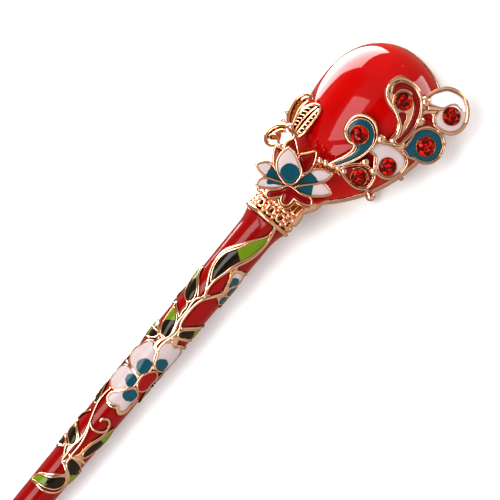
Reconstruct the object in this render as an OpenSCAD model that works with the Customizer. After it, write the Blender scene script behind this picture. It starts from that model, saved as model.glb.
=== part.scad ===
// Hair stick lying face up. +X runs along the stem towards the head, +Z is up.
// The origin is on the head's flat back, under the centre of the drop's round end.

/* [Stem] */
// Length of the stem from the collar to its tip
stem_l = 139; // [110:1:160]
// Radius of the stem below its flare
stem_r = 3.2; // [2.8:0.1:3.4]
// Radius where the stem flares into the collar
flare_r = 3.8; // [3.5:0.1:4]
// Radius just before the rounded tip
tip_r = 1.85; // [1.4:0.05:2.2]
// Height of the stem's axis at the collar above the flat back
stem_z = 5.5; // [5:0.1:6.5]

/* [Relief on the stem] */
// Height of the gold lines above the red enamel
wire_h = 0.28; // [0.15:0.01:0.4]
// Width of the gold lines
wire_w = 0.36; // [0.25:0.01:0.5]
// Height of the enamel inside the leaves and petals
enamel_h = 0.2; // [0.1:0.01:0.25]

/* [Drop and bezel] */
// Radius of the drop's round end, which is also its height
drop_r = 10.5; // [9.5:0.1:11]
// Radius of the drop's narrow end
nose_r = 4; // [3.5:0.1:4.5]
// Distance between the centres of the two ends
drop_d = 14.5; // [13:0.1:16]
// Thickness of the back plate
plate_t = 1; // [0.8:0.1:1.2]
// Thickness of the bezel's rim
rim_t = 0.22; // [0.18:0.02:0.3]
// Height of the bezel's rim above the back plate
rim_h = 1; // [0.8:0.1:1.4]

/* [Collar] */
// Distance from the drop's centre to the collar's stem side
collar_x = 25.2; // [24:0.1:26]
// Sideways place of the stem's axis
stem_y = 1.2; // [0.8:0.1:1.6]
// Radius of the collar's rings
collar_r = 4.3; // [4:0.1:4.6]

/* [Feather fan, lotus and butterfly] */
// Angle by which the fan's face leans over the drop's right side
face_tilt = 18; // [12:1:22]
// Radius of the rhinestones
stone_r = 1.4; // [1.2:0.05:1.5]
// Thickness of the feather trays
tray_t = 0.9; // [0.8:0.1:1.1]
// Width of the trays' gold rims
tray_rim = 0.36; // [0.3:0.01:0.45]
// Angle of the lotus's axis from the stem's direction
lotus_turn = 40; // [30:1:50]
// Angle of the butterfly's wings from the fan's face
butterfly_tilt = 38; // [30:1:45]

/* [Hidden] */
$fn = 48;
gap = 0.03;
flare_l = 3;
nose_l = 1.6;
rad = 180 / PI;
lift_step = 0.007;
turn_max = 24;
shell_stations = [0.4, flare_l, 70];
blade_margin = 0.2;
stem_slope = asin((stem_z - tip_r) / (stem_l - nose_l));
head_lean = atan(stem_y / collar_x);
side_r = (pow(drop_d, 2) + pow(drop_r, 2) - pow(nose_r, 2)) / (2 * (drop_r - nose_r));
side_c = side_r - drop_r;
drop_z = plate_t + 0.05;
drop_gap = 0.04;

// Leaves of the stem. Columns: station of the middle, angle around the stem from the face,
// length, width, turn from the head's direction, bend
leaves = [
    [7.1, 9, 11.3, 2.5, 13, -0.8],
    [14.9, -54, 7, 1.7, -35, -0.2],
    [22.4, -26, 5.6, 2, -29, -0.2],
    [24.6, -72, 4.2, 2.1, -74, 0],
    [21.6, 50, 4.4, 1.5, 53, 0.1],
    [37.9, -76, 4.6, 1.5, -29, -0.1],
    [46, -49, 4.6, 1.7, -43, 0],
    [48.2, -92, 3.8, 1.6, -62, 0],
    [44.7, 54, 6.8, 1.6, 18, -0.2],
    [50.9, 42, 4.6, 1.8, 130, 0.1],
    [54.1, -14, 5.5, 2, -128, -0.2],
    [6.2, 172, 8, 2.2, -14, 0.4],
    [15.6, 226, 6.4, 1.9, -30, 0],
    [24.8, 168, 6, 1.9, 30, 0],
    [41.6, 150, 6.4, 1.9, 24, 0],
    [51.6, 186, 6.2, 1.9, -28, 0]
];

// Flowers of the stem. Columns: station, angle around the stem, radius of the centre,
// length of a petal, width of a petal, directions of the petals
flowers = [
    [31.9, 33, 1.3, 4.6, 3.9, [-47, -118, -172, 4, 58, 118]],
    [12.3, 90, 0.6, 2.1, 1.9, [-100, -28, 44, 116, 188]],
    [33.5, 215, 0.8, 3, 2.6, [-90, -18, 54, 126, 198]]
];

// Stalks of the vine. Each is a list of stations and angles around the stem
stalks = [
    [[0.5, 46], [2, 34]],
    [[12.8, -12], [14.2, -4], [15.6, 4], [17, -8], [21, -6], [24, 1], [26.6, -16], [27.6, -24]],
    [[21.2, -4], [17, 3], [14, 27], [11, 52]],
    [[19.4, -9], [20.6, -24], [19.3, -52]],
    [[25.6, -12], [25.4, -34]],
    [[21.4, -2], [23.1, 18]],
    [[36.4, -45], [39, -42], [42, -26], [45.5, -11], [50.3, -12]],
    [[45.6, -14], [43.9, -50]],
    [[42.6, -22], [43.1, 6], [42.2, 32], [40.7, 24], [41.2, 6]],
    [[50.3, -12], [51.8, 14], [53.6, 40], [55.4, 52]],
    [[50.3, -12], [49, 8], [48.1, 30]],
    [[46.8, 16], [41.6, 37]],
    [[9.8, 178], [14, 192], [18.6, 196], [22.2, 180]],
    [[27.4, 156], [28.4, 176], [29.2, 196]],
    [[37.4, 222], [41, 190], [45, 176], [48.6, 179]]
];

// Feathers, laid out square to the fan's face with the origin under the drop's centre.
// Columns: place along, place across, height under the tray, lean across, lean along,
// head's radius, head's centre, tail's arc centre, arc radius,
// first angle, last angle, first width, last width
feathers = [
    [-5.2, 0.34, 11.15, 0, -14, 2.9, [0.25, 0], [1.27, 8.84], 11.2, -95, -132, 1.9, 1],
    [3.4, -1.86, 11.1, 11, 4, 3.2, [0.5, 0.4], [-4.7, 6], 9.1, -60, -95, 2.4, 1.1],
    [6.6, -9.06, 8.9, 12, 8, 3.45, [0.35, 1.1], [2.2, 1.2], 4, 172, 130, 2.2, 1],
    [0.3, -9.06, 9, 15, 0, 2.85, [0.2, 0], [0.5, -1.2], 4.1, 112, 140, 1.4, 1],
    [-6.1, -6.46, 9.35, 18, -5, 2.55, [0.7, 0.1], [-6, 2], 7, -6, 17, 3.4, 1.6],
    [-10.4, -3.96, 8.5, 20, -10, 2.15, [0.2, 0], [-5.6, 0.4], 5.8, 2, 24, 2.8, 0.9]
];

// Granules between the feathers. Columns: place along, place across, height, radius
granules = [
    [-7.8, -3.2, 10.3, 0.85],
    [-8, -5.2, 9.7, 0.85],
    [-3.5, -2.8, 11.8, 0.9],
    [-2.2, -5.8, 10.4, 0.9],
    [2.7, -5.6, 10.4, 0.95],
    [3.75, -9, 9.4, 0.7],
    [5.7, -4.4, 10.5, 0.9],
    [-12.3, 2.4, 10, 0.6],
    [-12, 1.4, 10, 0.6],
    [-11.6, 0.4, 10, 0.6],
    [-11.3, -0.6, 9.8, 0.6],
    [-11.1, -1.6, 9.6, 0.6]
];

// Feet of the fan, outside the bezel's rim. Columns: place along the rim,
// then the place along, across and height under the tray
feet = [
    [-10.9, [-10.6, -5.2, 8.25]],
    [-5.4, [-5.8, -8.2, 8.95]],
    [0.8, [0.4, -10.4, 8.8]],
    [5.6, [6.4, -9.8, 8.9]]
];
foot_r = 0.4;
// The nub on the rim's outside, below the first feather
nub_x = -10.9;
nub_z = 1.4;
nub_r = 0.8;

// Profile of the collar. Columns: depth below its rings' radius, distance from its stem side
collar_profile = [
    [9, 0.08], [0.2, 0.08], [0, 0.3], [0.2, 0.7], [0.5, 0.9], [0.1, 1.2], [0.1, 2.5], [0.5, 2.8],
    [0, 3], [0, 3.4], [0.5, 3.7], [0.6, 5.2], [1.2, 7.4], [2.1, 9], [9, 9]
];

// Petals of the lotus. Columns: direction from its axis, start, length, width, level
petals = [
    [0, 0.2, 5.6, 3, 3],
    [-56, 0.7, 5.6, 2.3, 2],
    [76, 0.7, 6, 2.2, 2],
    [180, 0.7, 2.3, 1.6, 2],
    [-88, 1.4, 4.2, 1.9, 1],
    [100, 1.4, 5.2, 1.9, 1],
    [-20, 2.6, 4.2, 2.1, 1],
    [30, 2.6, 4, 2.1, 1],
    [5, 4, 3.9, 2.2, 0],
    [-122, 1.2, 2.9, 1.2, 0],
    [128, 1.2, 3.6, 1.2, 0]
];
tray_floor = 0.35;
stone_floor = 0.45;
collet_t = 0.25;
lotus_at = [-18.1, 3.7, 9.3];
lotus_post = 0.85;
petal_t = 0.55;
petal_step = 0.4;
petal_rim = 0.3;
pocket_h = 0.3;

// Wings of the butterfly. Columns: direction, length, width, number of ribs
wings = [
    [66, 6.4, 3.3, 0],
    [108, 5.8, 2.6, 3],
    [-56, 4.6, 3.2, 0],
    [-114, 4.2, 2.3, 2]
];
butterfly_at = [-11.4, 9.4, 6.1];
wing_t = 0.8;

function stem_radius(s) =
    let (cone = stem_r - (stem_r - tip_r) * (s - flare_l) / (stem_l - nose_l - flare_l))
    s < flare_l ? stem_r + (flare_r - stem_r) * pow(1 - s / flare_l, 2)
    : s < stem_l - nose_l ? cone
    : tip_r * sqrt(max(0, 1 - pow((s - stem_l + nose_l) / nose_l, 2)));

// Radius of the egg's outline at a place along its axis, grown by a margin
function egg_join(m) = -drop_d * (1 + (nose_r + m) / (side_r - nose_r));
function egg_radius(x, m = 0) =
    x >= 0 ? sqrt(max(0, pow(drop_r + m, 2) - x * x))
    : x > egg_join(m) ? sqrt(pow(side_r + m, 2) - x * x) - side_c
    : sqrt(max(0, pow(nose_r + m, 2) - pow(x + drop_d, 2)));

// Places along the egg's axis, closer together at its two ends
function egg_stations(m) = [
    for (k = [0 : 4]) -drop_d - (nose_r + m) * cos(k * 9),
    for (k = [0 : 9]) egg_join(m) * (1 - k / 9),
    for (k = [1 : 12]) (drop_r + m) * sin(k * 90 / 12)
];
function egg_half(m) = [for (x = egg_stations(m)) [x, egg_radius(x, m)]];
function egg_outline(m) =
    let (half = egg_half(m), n = len(half))
    concat(half, [for (k = [n - 2 : -1 : 1]) [half[k][0], -half[k][1]]]);

// Outline of a pointed leaf and of a round petal, centred on its middle
function leaf_half(f) = pow(sin(180 * pow(f, 0.8)), 0.85);
function petal_half(f) = pow(sin(180 * pow(f, 1.25)), 0.6);
function blade(l, w, bend, round, n) = [
    for (k = [0 : n]) let (f = k / n)
        [(f - 0.5) * l, bend * sin(180 * f) + w / 2 * (round ? petal_half(f) : leaf_half(f))],
    for (k = [n - 1 : -1 : 1]) let (f = k / n)
        [(f - 0.5) * l, bend * sin(180 * f) - w / 2 * (round ? petal_half(f) : leaf_half(f))]
];
function blade_steps(row) = row[2] > 5 ? 4 : 3;
function turned(p, a) = [p[0] * cos(a) - p[1] * sin(a), p[0] * sin(a) + p[1] * cos(a)];

// Station and angle of a point of a blade whose middle is at a station and an angle
function blade_place(s, t, turn, p) =
    let (q = turned(p, turn))
    [s - q[0], t + asin(q[1] / (stem_radius(s) + wire_h))];
function petal_row(flower, k) =
    let (d = flower[2] + flower[3] / 2 + 0.2, a = flower[5][k])
    let (angle = flower[1] + d * sin(a) / stem_radius(flower[0]) * rad)
    [flower[0] - d * cos(a), angle, flower[3], flower[4], a, 0];

// Outline of a strip that narrows along an arc
function strip(c, r, a0, a1, w0, w1, n) = [
    for (k = [0 : n]) let (a = a0 + (a1 - a0) * k / n, w = w0 + (w1 - w0) * k / n)
        c + (r + w / 2) * [cos(a), sin(a)],
    for (k = [n : -1 : 0]) let (a = a0 + (a1 - a0) * k / n, w = w0 + (w1 - w0) * k / n)
        c + (r - w / 2) * [cos(a), sin(a)]
];

LEAF_NAMES = [for (k = [1 : len(leaves)]) str("leaf_", k)];
FEATHER_NAMES = [for (k = [1 : len(feathers)]) str("feather_", k)];
STONE_NAMES = [for (k = [1 : len(feathers)]) str("rhinestone_", k)];
FLOWER_NAMES = ["big_flower", "small_flower", "back_flower"];

// Frame of the stem: its axis is Z, from the collar towards the tip, and X is up
module on_stem() translate([-collar_x, stem_y, stem_z]) rotate([0, -90 - stem_slope, 0]) children();
// Frame of the fan's face: Z is square to it
module on_face() rotate([face_tilt, 0, 0]) children();
// Frame of the drop: X is its axis, away from the stem
module on_head() rotate([0, 0, -head_lean]) children();
// Frame of one feather's tray
module on_tray(f) on_face() translate([f[0], f[1], f[2]]) rotate([f[3], f[4], 0]) children();
// Tangent frame on the stem: Z points out, X towards the head, Y around the stem
module on_skin(s, t) rotate([0, 0, -face_tilt - t]) translate([0, 0, s])
    rotate([0, 90, 0]) mirror([0, 1, 0]) children();

// A skin of even thickness around the decorated stretch of the stem
module stem_shell(lift, h) rotate_extrude() polygon(concat(
    [for (s = shell_stations) [stem_radius(s) + lift, s]],
    [for (k = [2 : -1 : 0]) [stem_radius(shell_stations[k]) + lift + h, shell_stations[k]]]
));

module stem() color([0.72, 0.02, 0.02]) on_stem() rotate_extrude() polygon(concat(
    [[0, 0.05]],
    [for (k = [0 : 6]) [stem_radius(flare_l * k / 6), max(0.05, flare_l * k / 6)]],
    [for (k = [0 : 8]) let (s = stem_l - nose_l + nose_l * sin(k * 90 / 8)) [stem_radius(s), s]]
));

module enamel_blade(row, round) {
    l = row[2] - wire_w - blade_margin;
    w = row[3] - wire_w - blade_margin;
    intersection() {
        stem_shell(gap, enamel_h);
        on_skin(row[0], row[1]) linear_extrude(height = 6)
            rotate([0, 0, row[4]]) polygon(blade(l, w, row[5], round, blade_steps(row)));
    }
}

module leaf(k) color([0.08, 0.25, 0.05]) on_stem() enamel_blade(leaves[k], false);

module flower(k) color([0.85, 0.8, 0.8]) on_stem() {
    for (p = [0 : len(flowers[k][5]) - 1]) enamel_blade(petal_row(flowers[k], p), true);
    intersection() {
        stem_shell(gap, enamel_h);
        on_skin(flowers[k][0], flowers[k][1])
            cylinder(r = flowers[k][2] * cos(36) - wire_w / 2 - gap, h = 6);
    }
}

// A gold post that stands on the stem's skin
module post(p, lift) rotate([0, 0, -face_tilt - p[1]])
    translate([stem_radius(p[0]) + 2 * gap + lift, 0, p[0]])
    rotate([0, 90, 0]) rotate([0, 0, 10]) cylinder(d = wire_w, h = wire_h, $fn = 4);
// A step around the stem that is wider than turn_max is cut in two, so that it follows the skin
function stepped(points) = [
    for (k = [1 : len(points) - 1]) let (a = points[k - 1], b = points[k])
        each (abs(b[1] - a[1]) > turn_max ? [a, (a + b) / 2] : [a]),
    points[len(points) - 1]
];
module wire(points, lift) {
    places = stepped(points);
    for (k = [1 : len(places) - 1]) hull() {
        post(places[k - 1], lift);
        post(places[k], lift);
    }
}
module blade_wire(row, round, lift) {
    outline = blade(row[2], row[3], row[5], round, blade_steps(row));
    places = [for (p = outline) blade_place(row[0], row[1], row[4], p)];
    wire(concat(places, [places[0]]), lift);
}
module centre_wire(f, lift)
    wire([for (a = [0 : 72 : 360]) blade_place(f[0], f[1], 0, f[2] * [cos(a), sin(a)])], lift);

// The gold lines. Each lies a little higher than the last, so that no two tops are level where they cross
module vine() color([0.95, 0.75, 0.6]) on_stem() {
    for (k = [0 : len(leaves) - 1]) blade_wire(leaves[k], false, lift_step * (k % 3));
    for (f = flowers) {
        for (p = [0 : len(f[5]) - 1]) blade_wire(petal_row(f, p), true, lift_step * (p + 1.5));
        centre_wire(f, lift_step * 0.7);
    }
    for (k = [0 : len(stalks) - 1]) wire(stalks[k], lift_step * (4.3 + k % 5));
}

module egg_turned(m, angle) on_head() translate([0, 0, drop_z]) rotate([90, 0, 90])
    rotate_extrude(angle = angle) polygon([for (p = egg_half(m)) [p[1], p[0]]]);

module drop() color([0.78, 0, 0]) egg_turned(0, 180);

module bezel() color([0.95, 0.75, 0.6]) on_head() {
    linear_extrude(height = plate_t) polygon(egg_outline(rim_t + drop_gap));
    linear_extrude(height = plate_t + rim_h) difference() {
        polygon(egg_outline(rim_t + drop_gap));
        polygon(egg_outline(drop_gap));
    }
}

// The collar is a turned sleeve whose front is cut to the drop and the bezel
module collar() color([0.95, 0.75, 0.6]) difference() {
    translate([-collar_x, stem_y, stem_z]) rotate([0, 90, 0]) rotate_extrude()
        polygon([for (p = collar_profile) [max(0, collar_r - p[0]), p[1]]]);
    egg_turned(drop_gap, 360);
    on_head() translate([0, 0, -3]) linear_extrude(height = 3.1 + plate_t + rim_h)
        polygon(egg_outline(rim_t + drop_gap + 0.15));
}

module lens(l, w) {
    r = (l * l + w * w) / (4 * w);
    intersection() {
        translate([r - w / 2, 0]) circle(r);
        translate([w / 2 - r, 0]) circle(r);
    }
}
module on_petal(p) on_face() translate(lotus_at) rotate([0, 0, lotus_turn - 90 - p[0]])
    translate([0, p[1] + p[2] / 2, 0]) children();
function petal_top(p) = p[4] * petal_step + petal_t;
module petal_inner(p, m) lens(p[2] - 3.2 * (petal_rim + m), p[3] - 2 * (petal_rim + m));

module lotus_frame() color([0.95, 0.75, 0.6]) {
    for (p = petals) on_petal(p) difference() {
        linear_extrude(height = petal_top(p)) lens(p[2], p[3]);
        translate([0, 0, petal_top(p) - pocket_h]) linear_extrude(height = 1) petal_inner(p, 0);
    }
    on_face() translate(lotus_at - [0, 0, lotus_post]) cylinder(r = 1.4, h = lotus_post + petal_t);
}

module lotus_enamel() color([0.85, 0.8, 0.8]) for (p = petals) difference() {
    on_petal(p) translate([0, 0, petal_top(p) - pocket_h + gap]) linear_extrude(height = pocket_h - 3 * gap)
        petal_inner(p, gap);
    for (q = petals) if (q[4] > p[4])
        on_petal(q) linear_extrude(height = 3) lens(q[2] + 2 * gap, q[3] + 2 * gap);
}

// A feather's head and tail, drawn in by a margin
module feather_plate(f, m, h) {
    translate([f[6][0], f[6][1], 0]) cylinder(r = f[5] - m, h = h);
    end = f[10] + (f[10] > f[9] ? -1 : 1) * m * rad / f[8];
    linear_extrude(height = h) polygon(strip(f[7], f[8], f[9], end, f[11] - 2 * m, f[12] - 2 * m, 6));
}

module tray(f) {
    difference() {
        feather_plate(f, 0, tray_t);
        difference() {
            translate([0, 0, tray_floor]) feather_plate(f, tray_rim, 1);
            cylinder(r = stone_r + collet_t, h = 3);
        }
        translate([0, 0, stone_floor]) cylinder(r = stone_r + 2 * gap, h = 2);
    }
}

module rod(p, q, r) {
    d = q - p;
    translate(p) rotate([0, acos(d[2] / norm(d)), atan2(d[1], d[0])]) cylinder(r = r, h = norm(d));
}

// A point of the fan's face, and a point at which something of a radius touches the rim's outside
function face_point(p) = concat([p[0]], turned([p[1], p[2]], face_tilt));
function rim_side(x, r, z) =
    let (p = turned([x, -egg_radius(x, drop_gap + rim_t + gap + r)], -head_lean))
    [p[0], p[1], z];
module fan_frame() color([0.95, 0.75, 0.6]) {
    for (f = feathers) on_tray(f) tray(f);
    on_face() for (g = granules) translate([g[0], g[1], g[2]]) sphere(g[3]);
    for (f = feet) rod(rim_side(f[0], foot_r + 0.08, plate_t), face_point(f[1]), foot_r);
    translate(rim_side(nub_x, nub_r, nub_z)) sphere(nub_r);
}

module feather(k) color([0, 0.35, 0.42]) on_tray(feathers[k]) difference() {
    translate([0, 0, tray_floor + gap])
        feather_plate(feathers[k], tray_rim + gap, tray_t - tray_floor - 0.08);
    cylinder(r = stone_r + collet_t + gap, h = 3);
}

module brilliant(r) {
    cylinder(r = r, h = 0.5, $fn = 8);
    translate([0, 0, 0.5]) cylinder(r1 = r, r2 = 0.6 * r, h = 0.36 * r, $fn = 8);
}
module rhinestone(k) color([0.7, 0, 0.03]) on_tray(feathers[k]) translate([0, 0, stone_floor + gap])
    brilliant(stone_r);

module on_butterfly() on_face() translate(butterfly_at) rotate([-butterfly_tilt, 0, 0]) children();
module wing(w) {
    difference() {
        lens(w[1], w[2]);
        lens(w[1] - 1.6, w[2] - 0.9);
    }
    for (k = [0 : 1 : w[3] - 1]) translate([0, (k - w[3] / 2 + 0.5) * w[1] / 5])
        square([w[2] - 0.6, 0.3], center = true);
}
module butterfly() color([0.95, 0.75, 0.6]) on_butterfly() {
    for (w = wings) rotate([0, 0, -w[0]]) translate([0, 0.5 + w[1] / 2, 0])
        linear_extrude(height = wing_t) wing(w);
    rod([0, -2.2, 0.5], [0, 2, 0.5], 0.6);
    translate([0, 2, 0.5]) sphere(0.75);
    for (side = [-1, 1]) {
        rod([0, 2, 0.5], [side * 0.9, 3.4, 0.6], 0.2);
        translate([side * 0.9, 3.4, 0.6]) sphere(0.4);
    }
    rod([0, 0.4, 0.3], [0.3, 1.6, -2.6], 0.5);
}
module butterfly_stone() color([0.7, 0, 0.03]) on_butterfly() translate([0, 0.6, 1.12]) brilliant(0.4);

stem();
vine();
collar();
bezel();
drop();
lotus_frame();
lotus_enamel();
fan_frame();
butterfly();
butterfly_stone();
for (k = [0 : len(flowers) - 1]) flower(k);
for (k = [0 : len(leaves) - 1]) leaf(k);
for (k = [0 : len(feathers) - 1]) feather(k);
for (k = [0 : len(feathers) - 1]) rhinestone(k);
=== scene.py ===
"""A kanzashi: red enamelled stem with gold vines, a red drop, a lotus, a butterfly and a fan of feathers."""
import math
from functools import cache, partial

import bpy
import numpy as np
from bpy.props import FloatProperty, FloatVectorProperty, IntProperty, PointerProperty
from mathutils import Matrix, Vector
from mathutils.geometry import delaunay_2d_cdt


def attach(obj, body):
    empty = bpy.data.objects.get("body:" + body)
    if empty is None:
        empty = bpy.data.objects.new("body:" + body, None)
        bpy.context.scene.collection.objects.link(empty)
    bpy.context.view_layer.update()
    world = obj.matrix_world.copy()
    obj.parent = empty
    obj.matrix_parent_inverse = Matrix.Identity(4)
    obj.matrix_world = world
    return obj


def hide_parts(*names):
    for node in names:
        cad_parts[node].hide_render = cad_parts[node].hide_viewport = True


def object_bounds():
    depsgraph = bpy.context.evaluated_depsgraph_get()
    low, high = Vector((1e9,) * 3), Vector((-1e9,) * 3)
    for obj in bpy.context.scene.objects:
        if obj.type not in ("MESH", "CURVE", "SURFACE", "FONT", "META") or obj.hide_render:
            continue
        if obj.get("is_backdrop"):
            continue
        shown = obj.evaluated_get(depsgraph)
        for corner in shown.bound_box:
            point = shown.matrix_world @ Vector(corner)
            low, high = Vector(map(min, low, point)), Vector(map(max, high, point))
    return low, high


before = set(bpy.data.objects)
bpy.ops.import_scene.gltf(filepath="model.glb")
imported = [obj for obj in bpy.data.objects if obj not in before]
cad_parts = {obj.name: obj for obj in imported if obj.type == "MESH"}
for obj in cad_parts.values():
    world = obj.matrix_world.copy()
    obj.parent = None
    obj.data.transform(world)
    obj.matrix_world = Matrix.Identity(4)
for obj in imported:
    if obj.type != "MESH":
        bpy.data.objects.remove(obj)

bl_info = {
    "name": "Kanzashi",
    "version": (1, 0, 0),
    "blender": (4, 5, 0),
    "location": "3D View > Sidebar > Kanzashi",
    "description": "Builds the visible pieces of a hair stick around its frame",
    "category": "Add Mesh",
}

MM = 0.001
BODY = "root"
CAD_BOX = [list(corner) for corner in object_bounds()]

# The stem's frame, in millimetres: where its axis leaves the collar, its slope and its turn about itself
STEM_AT = (-25.2, 1.2, 5.5)
STEM_SLOPE = math.radians(1.522)
FACE_TILT = math.radians(18)
FLARE_LENGTH = 3.0
NOSE_LENGTH = 1.6
HEAD_LEAN = math.radians(-2.73)
DROP_Z = 1.05
# How much fuller the drop is on one side: millimetres at its rim, direction and reach in degrees
FULLER_SIDE = (0.7, 37, 33)
# How far the drop, the bezel's lip and the inside of its wall stand outside the egg of the head's sizes
DROP_MARGIN, LIP_MARGIN, BEZEL_MARGIN = 0.08, 0.19, 0.04
# The middle of the drop's top, along its axis
DROP_TOP = -2
# How many points the outlines of the drop and the bezel have
OUTLINE_POINTS = 168

# Outlines are drawn flat, as they are seen square to the face. Columns: place along the stem from the collar
# towards the head, place across it towards the fan. The stem's axis is at this place across
AXIS_ACROSS = -0.5
# Where the drop's centre is in that drawing
DROP_ALONG, DROP_ACROSS = 25.2, 2.54
# How far past the stem's skin a drawn point is still taken to lie on its silhouette
SILHOUETTE_LIFT = 0.15
# Spaces between the points of a drawn leaf or petal, and between those of an outline on the head
FINE, COARSE = 0.22, 0.3
# Spaces between the points inside enamel and inside flat gold
ENAMEL_STEP, PLATE_STEP = 0.26, 0.8
# How deep enamel and webs go into the stem's skin, and how much higher a flower's red middle stands
SUNK, CENTRE_LIFT = -0.1, 0.04
# Flat tops of the stem's gold lines and of its webs, as shares of the wire height
LINE_TOP, WEB_TOP = 0.85, 0.68

# Leaves on the face of the stem. Columns: a point of the line between dark and light, the direction
# of the light part in degrees, the outline
LEAVES = [
    ((-6.9, -0.3), 35, [(-12.9, -1), (-12.9, -1), (-12, -1.55), (-11.2, -1.95), (-10, -2.2), (-8.4, -2.15),
     (-7.3, -1.75), (-6.4, -1.15), (-5.4, -0.6), (-4.2, -0.1), (-3.2, 0.5), (-2.2, 1.1), (-1.4, 1.55),
     (-1.4, 1.55), (-2.6, 1.75), (-4, 1.7), (-5.2, 1.45), (-6.4, 1.1), (-7.4, 0.6), (-8.4, 0.16),
     (-9.6, -0.16), (-11, -0.45)]),
    ((-14.4, -3.3), -38, [(-17.8, -1.95), (-17.6, -2.4), (-17, -3), (-16.2, -3.35), (-15, -3.62),
     (-13.6, -3.72), (-12.2, -3.76), (-12.2, -3.76), (-13.2, -3.5), (-14, -3.15), (-14.6, -2.7),
     (-15.4, -2.1), (-16.4, -1.62), (-17.2, -1.5)]),
    ((-21.9, -2.1), -35, [(-24.85, -1.2), (-24.6, -1.7), (-24, -2.2), (-23.2, -2.6), (-22.2, -2.8),
     (-21.2, -2.92), (-20.1, -2.95), (-20.1, -2.95), (-20.4, -2.3), (-21.1, -1.55), (-21.9, -1.15),
     (-22.7, -0.9), (-23.6, -0.66), (-24.4, -0.7)]),
    ((-25, -3.3), -90, [(-26.4, -3.6), (-25.2, -3.62), (-23.9, -3.6), (-24.2, -2.9), (-24.7, -2.34),
     (-25.2, -2.2), (-25.8, -2.5), (-26.2, -3.1)]),
    ((-20.9, 2), 55, [(-23.1, 0.75), (-22.75, 0.42), (-22.1, 0.6), (-21.5, 1.2), (-20.8, 1.95), (-20.1, 2.5),
     (-20.1, 2.5), (-21.2, 2.5), (-22.2, 2.35), (-22.8, 1.5)]),
    ((-36.9, -3.5), -20, [(-39.9, -2.85), (-39.4, -3.25), (-38.4, -3.45), (-37, -3.52), (-35.9, -3.5),
     (-35.9, -3.5), (-37, -3.35), (-37.8, -3.15), (-38.8, -2.85)]),
    ((-45.2, -3), -35, [(-47.6, -1.7), (-47.2, -2.2), (-46.7, -2.9), (-46, -3.2), (-44.7, -3.2),
     (-44.7, -3.2), (-45.1, -2.6), (-45.6, -2.1), (-46.4, -1.5), (-47.2, -1.4)]),
    ((-47.3, -3.2), -60, [(-48.7, -3.2), (-47.9, -3.25), (-47.1, -3.3), (-47.6, -2.8), (-48.05, -2.5),
     (-48.5, -2.7)]),
    ((-44.1, 2), 12, [(-47.85, 1.25), (-47.4, 0.98), (-46.4, 0.95), (-45.2, 1.15), (-44.2, 1.5),
     (-42.8, 1.75), (-41.3, 2.1), (-41.3, 2.1), (-42.8, 2.3), (-44.4, 2.3), (-46, 2), (-47.2, 1.65)]),
    ((-51.3, 1.6), 150, [(-52.6, 2.15), (-52.6, 2.15), (-51.7, 1.6), (-51.2, 1.1), (-50.6, 0.25),
     (-49.9, -0.2), (-49.2, 0), (-49.15, 0.8), (-49.5, 1.8), (-50, 2.25), (-51.2, 2.3)]),
    ((-54.7, -0.75), -110, [(-55.8, -2.85), (-55.8, -2.85), (-55, -2.7), (-54.4, -2.1), (-54, -1.2),
     (-53.4, -0.3), (-52.6, 0.5), (-52.25, 1), (-52.7, 1.42), (-53.6, 1.5), (-54.6, 1), (-55.15, 0.1),
     (-55.45, -1), (-55.6, -2)]),
]

# Leaves that the face doesn't show. Columns: station of the middle, angle around the stem, length, width,
# turn from the head's direction, bend
HIDDEN_LEAVES = [
    (6.2, 172, 8, 2.2, -14, 0.4),
    (15.6, 226, 6.4, 1.9, -30, 0),
    (24.8, 168, 6, 1.9, 30, 0),
    (41.6, 150, 6.4, 1.9, 24, 0),
    (51.6, 186, 6.2, 1.9, -28, 0),
]

# Petals on the face of the stem. Columns: flower, centre of the round teal base, its radius, the outline
PETALS = [
    ("big_flower", (-33.3, -0.55), 1.12, [(-36.2, -2.6), (-35.6, -3.2), (-34.4, -3.46), (-33.1, -3.48),
     (-32.3, -3), (-32.05, -2.2), (-32.25, -1.2), (-32.45, -0.3), (-33, 0.1), (-33.8, 0.1), (-34.6, -0.4),
     (-35.4, -1.1), (-36.1, -1.8)]),
    ("big_flower", (-30.3, -0.45), 1.32, [(-31.75, -0.4), (-31.65, -1.4), (-31.35, -2.5), (-30.6, -3.2),
     (-29.3, -3.5), (-28.4, -3.2), (-27.5, -2.9), (-26.6, -2.4), (-26.35, -1.8), (-26.8, -1.1), (-27.7, -0.5),
     (-28.8, 0), (-29.7, 0.45), (-30.8, 0.45), (-31.5, 0.05)]),
    ("big_flower", (-35.3, 0.6), 1.15, [(-38.1, -1.75), (-37.5, -1.95), (-36.8, -1.8), (-36.1, -1.1),
     (-35.4, -0.45), (-34.6, -0.25), (-34.25, 0.5), (-34.4, 1.35), (-35.2, 1.72), (-36.4, 1.55), (-37.9, 1.5),
     (-38.35, 1.1), (-37.75, 0.45), (-38.1, -0.6)]),
    ("big_flower", (-28.5, 1.5), 1.2, [(-29.4, 1.4), (-28.9, 0.65), (-27.8, 0.25), (-26.9, -0.25),
     (-25.9, -0.4), (-25, 0), (-24.65, 0.7), (-25.05, 1.3), (-24.45, 2), (-25.1, 2.5), (-26.6, 2.6),
     (-28, 2.55), (-29.2, 2.1)]),
    ("small_flower", (-11, 1.95), 1.05, [(-11.9, 1.75), (-11.3, 1.3), (-10.4, 1.15), (-9.6, 1.2),
     (-8.95, 1.5), (-8.8, 2), (-9.2, 2.4), (-10.2, 2.5), (-11.4, 2.3)]),
    ("small_flower", (-12, 2.6), 2, [(-13.1, 2.25), (-12.2, 2.1), (-11.3, 2.4), (-11.2, 2.68), (-12, 2.74),
     (-13, 2.68)]),
    ("small_flower", (-14.2, 2.5), 2, [(-14.95, 2.2), (-14.4, 1.95), (-13.7, 2.05), (-13.4, 2.4),
     (-13.8, 2.65), (-14.7, 2.6)]),
]
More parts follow.
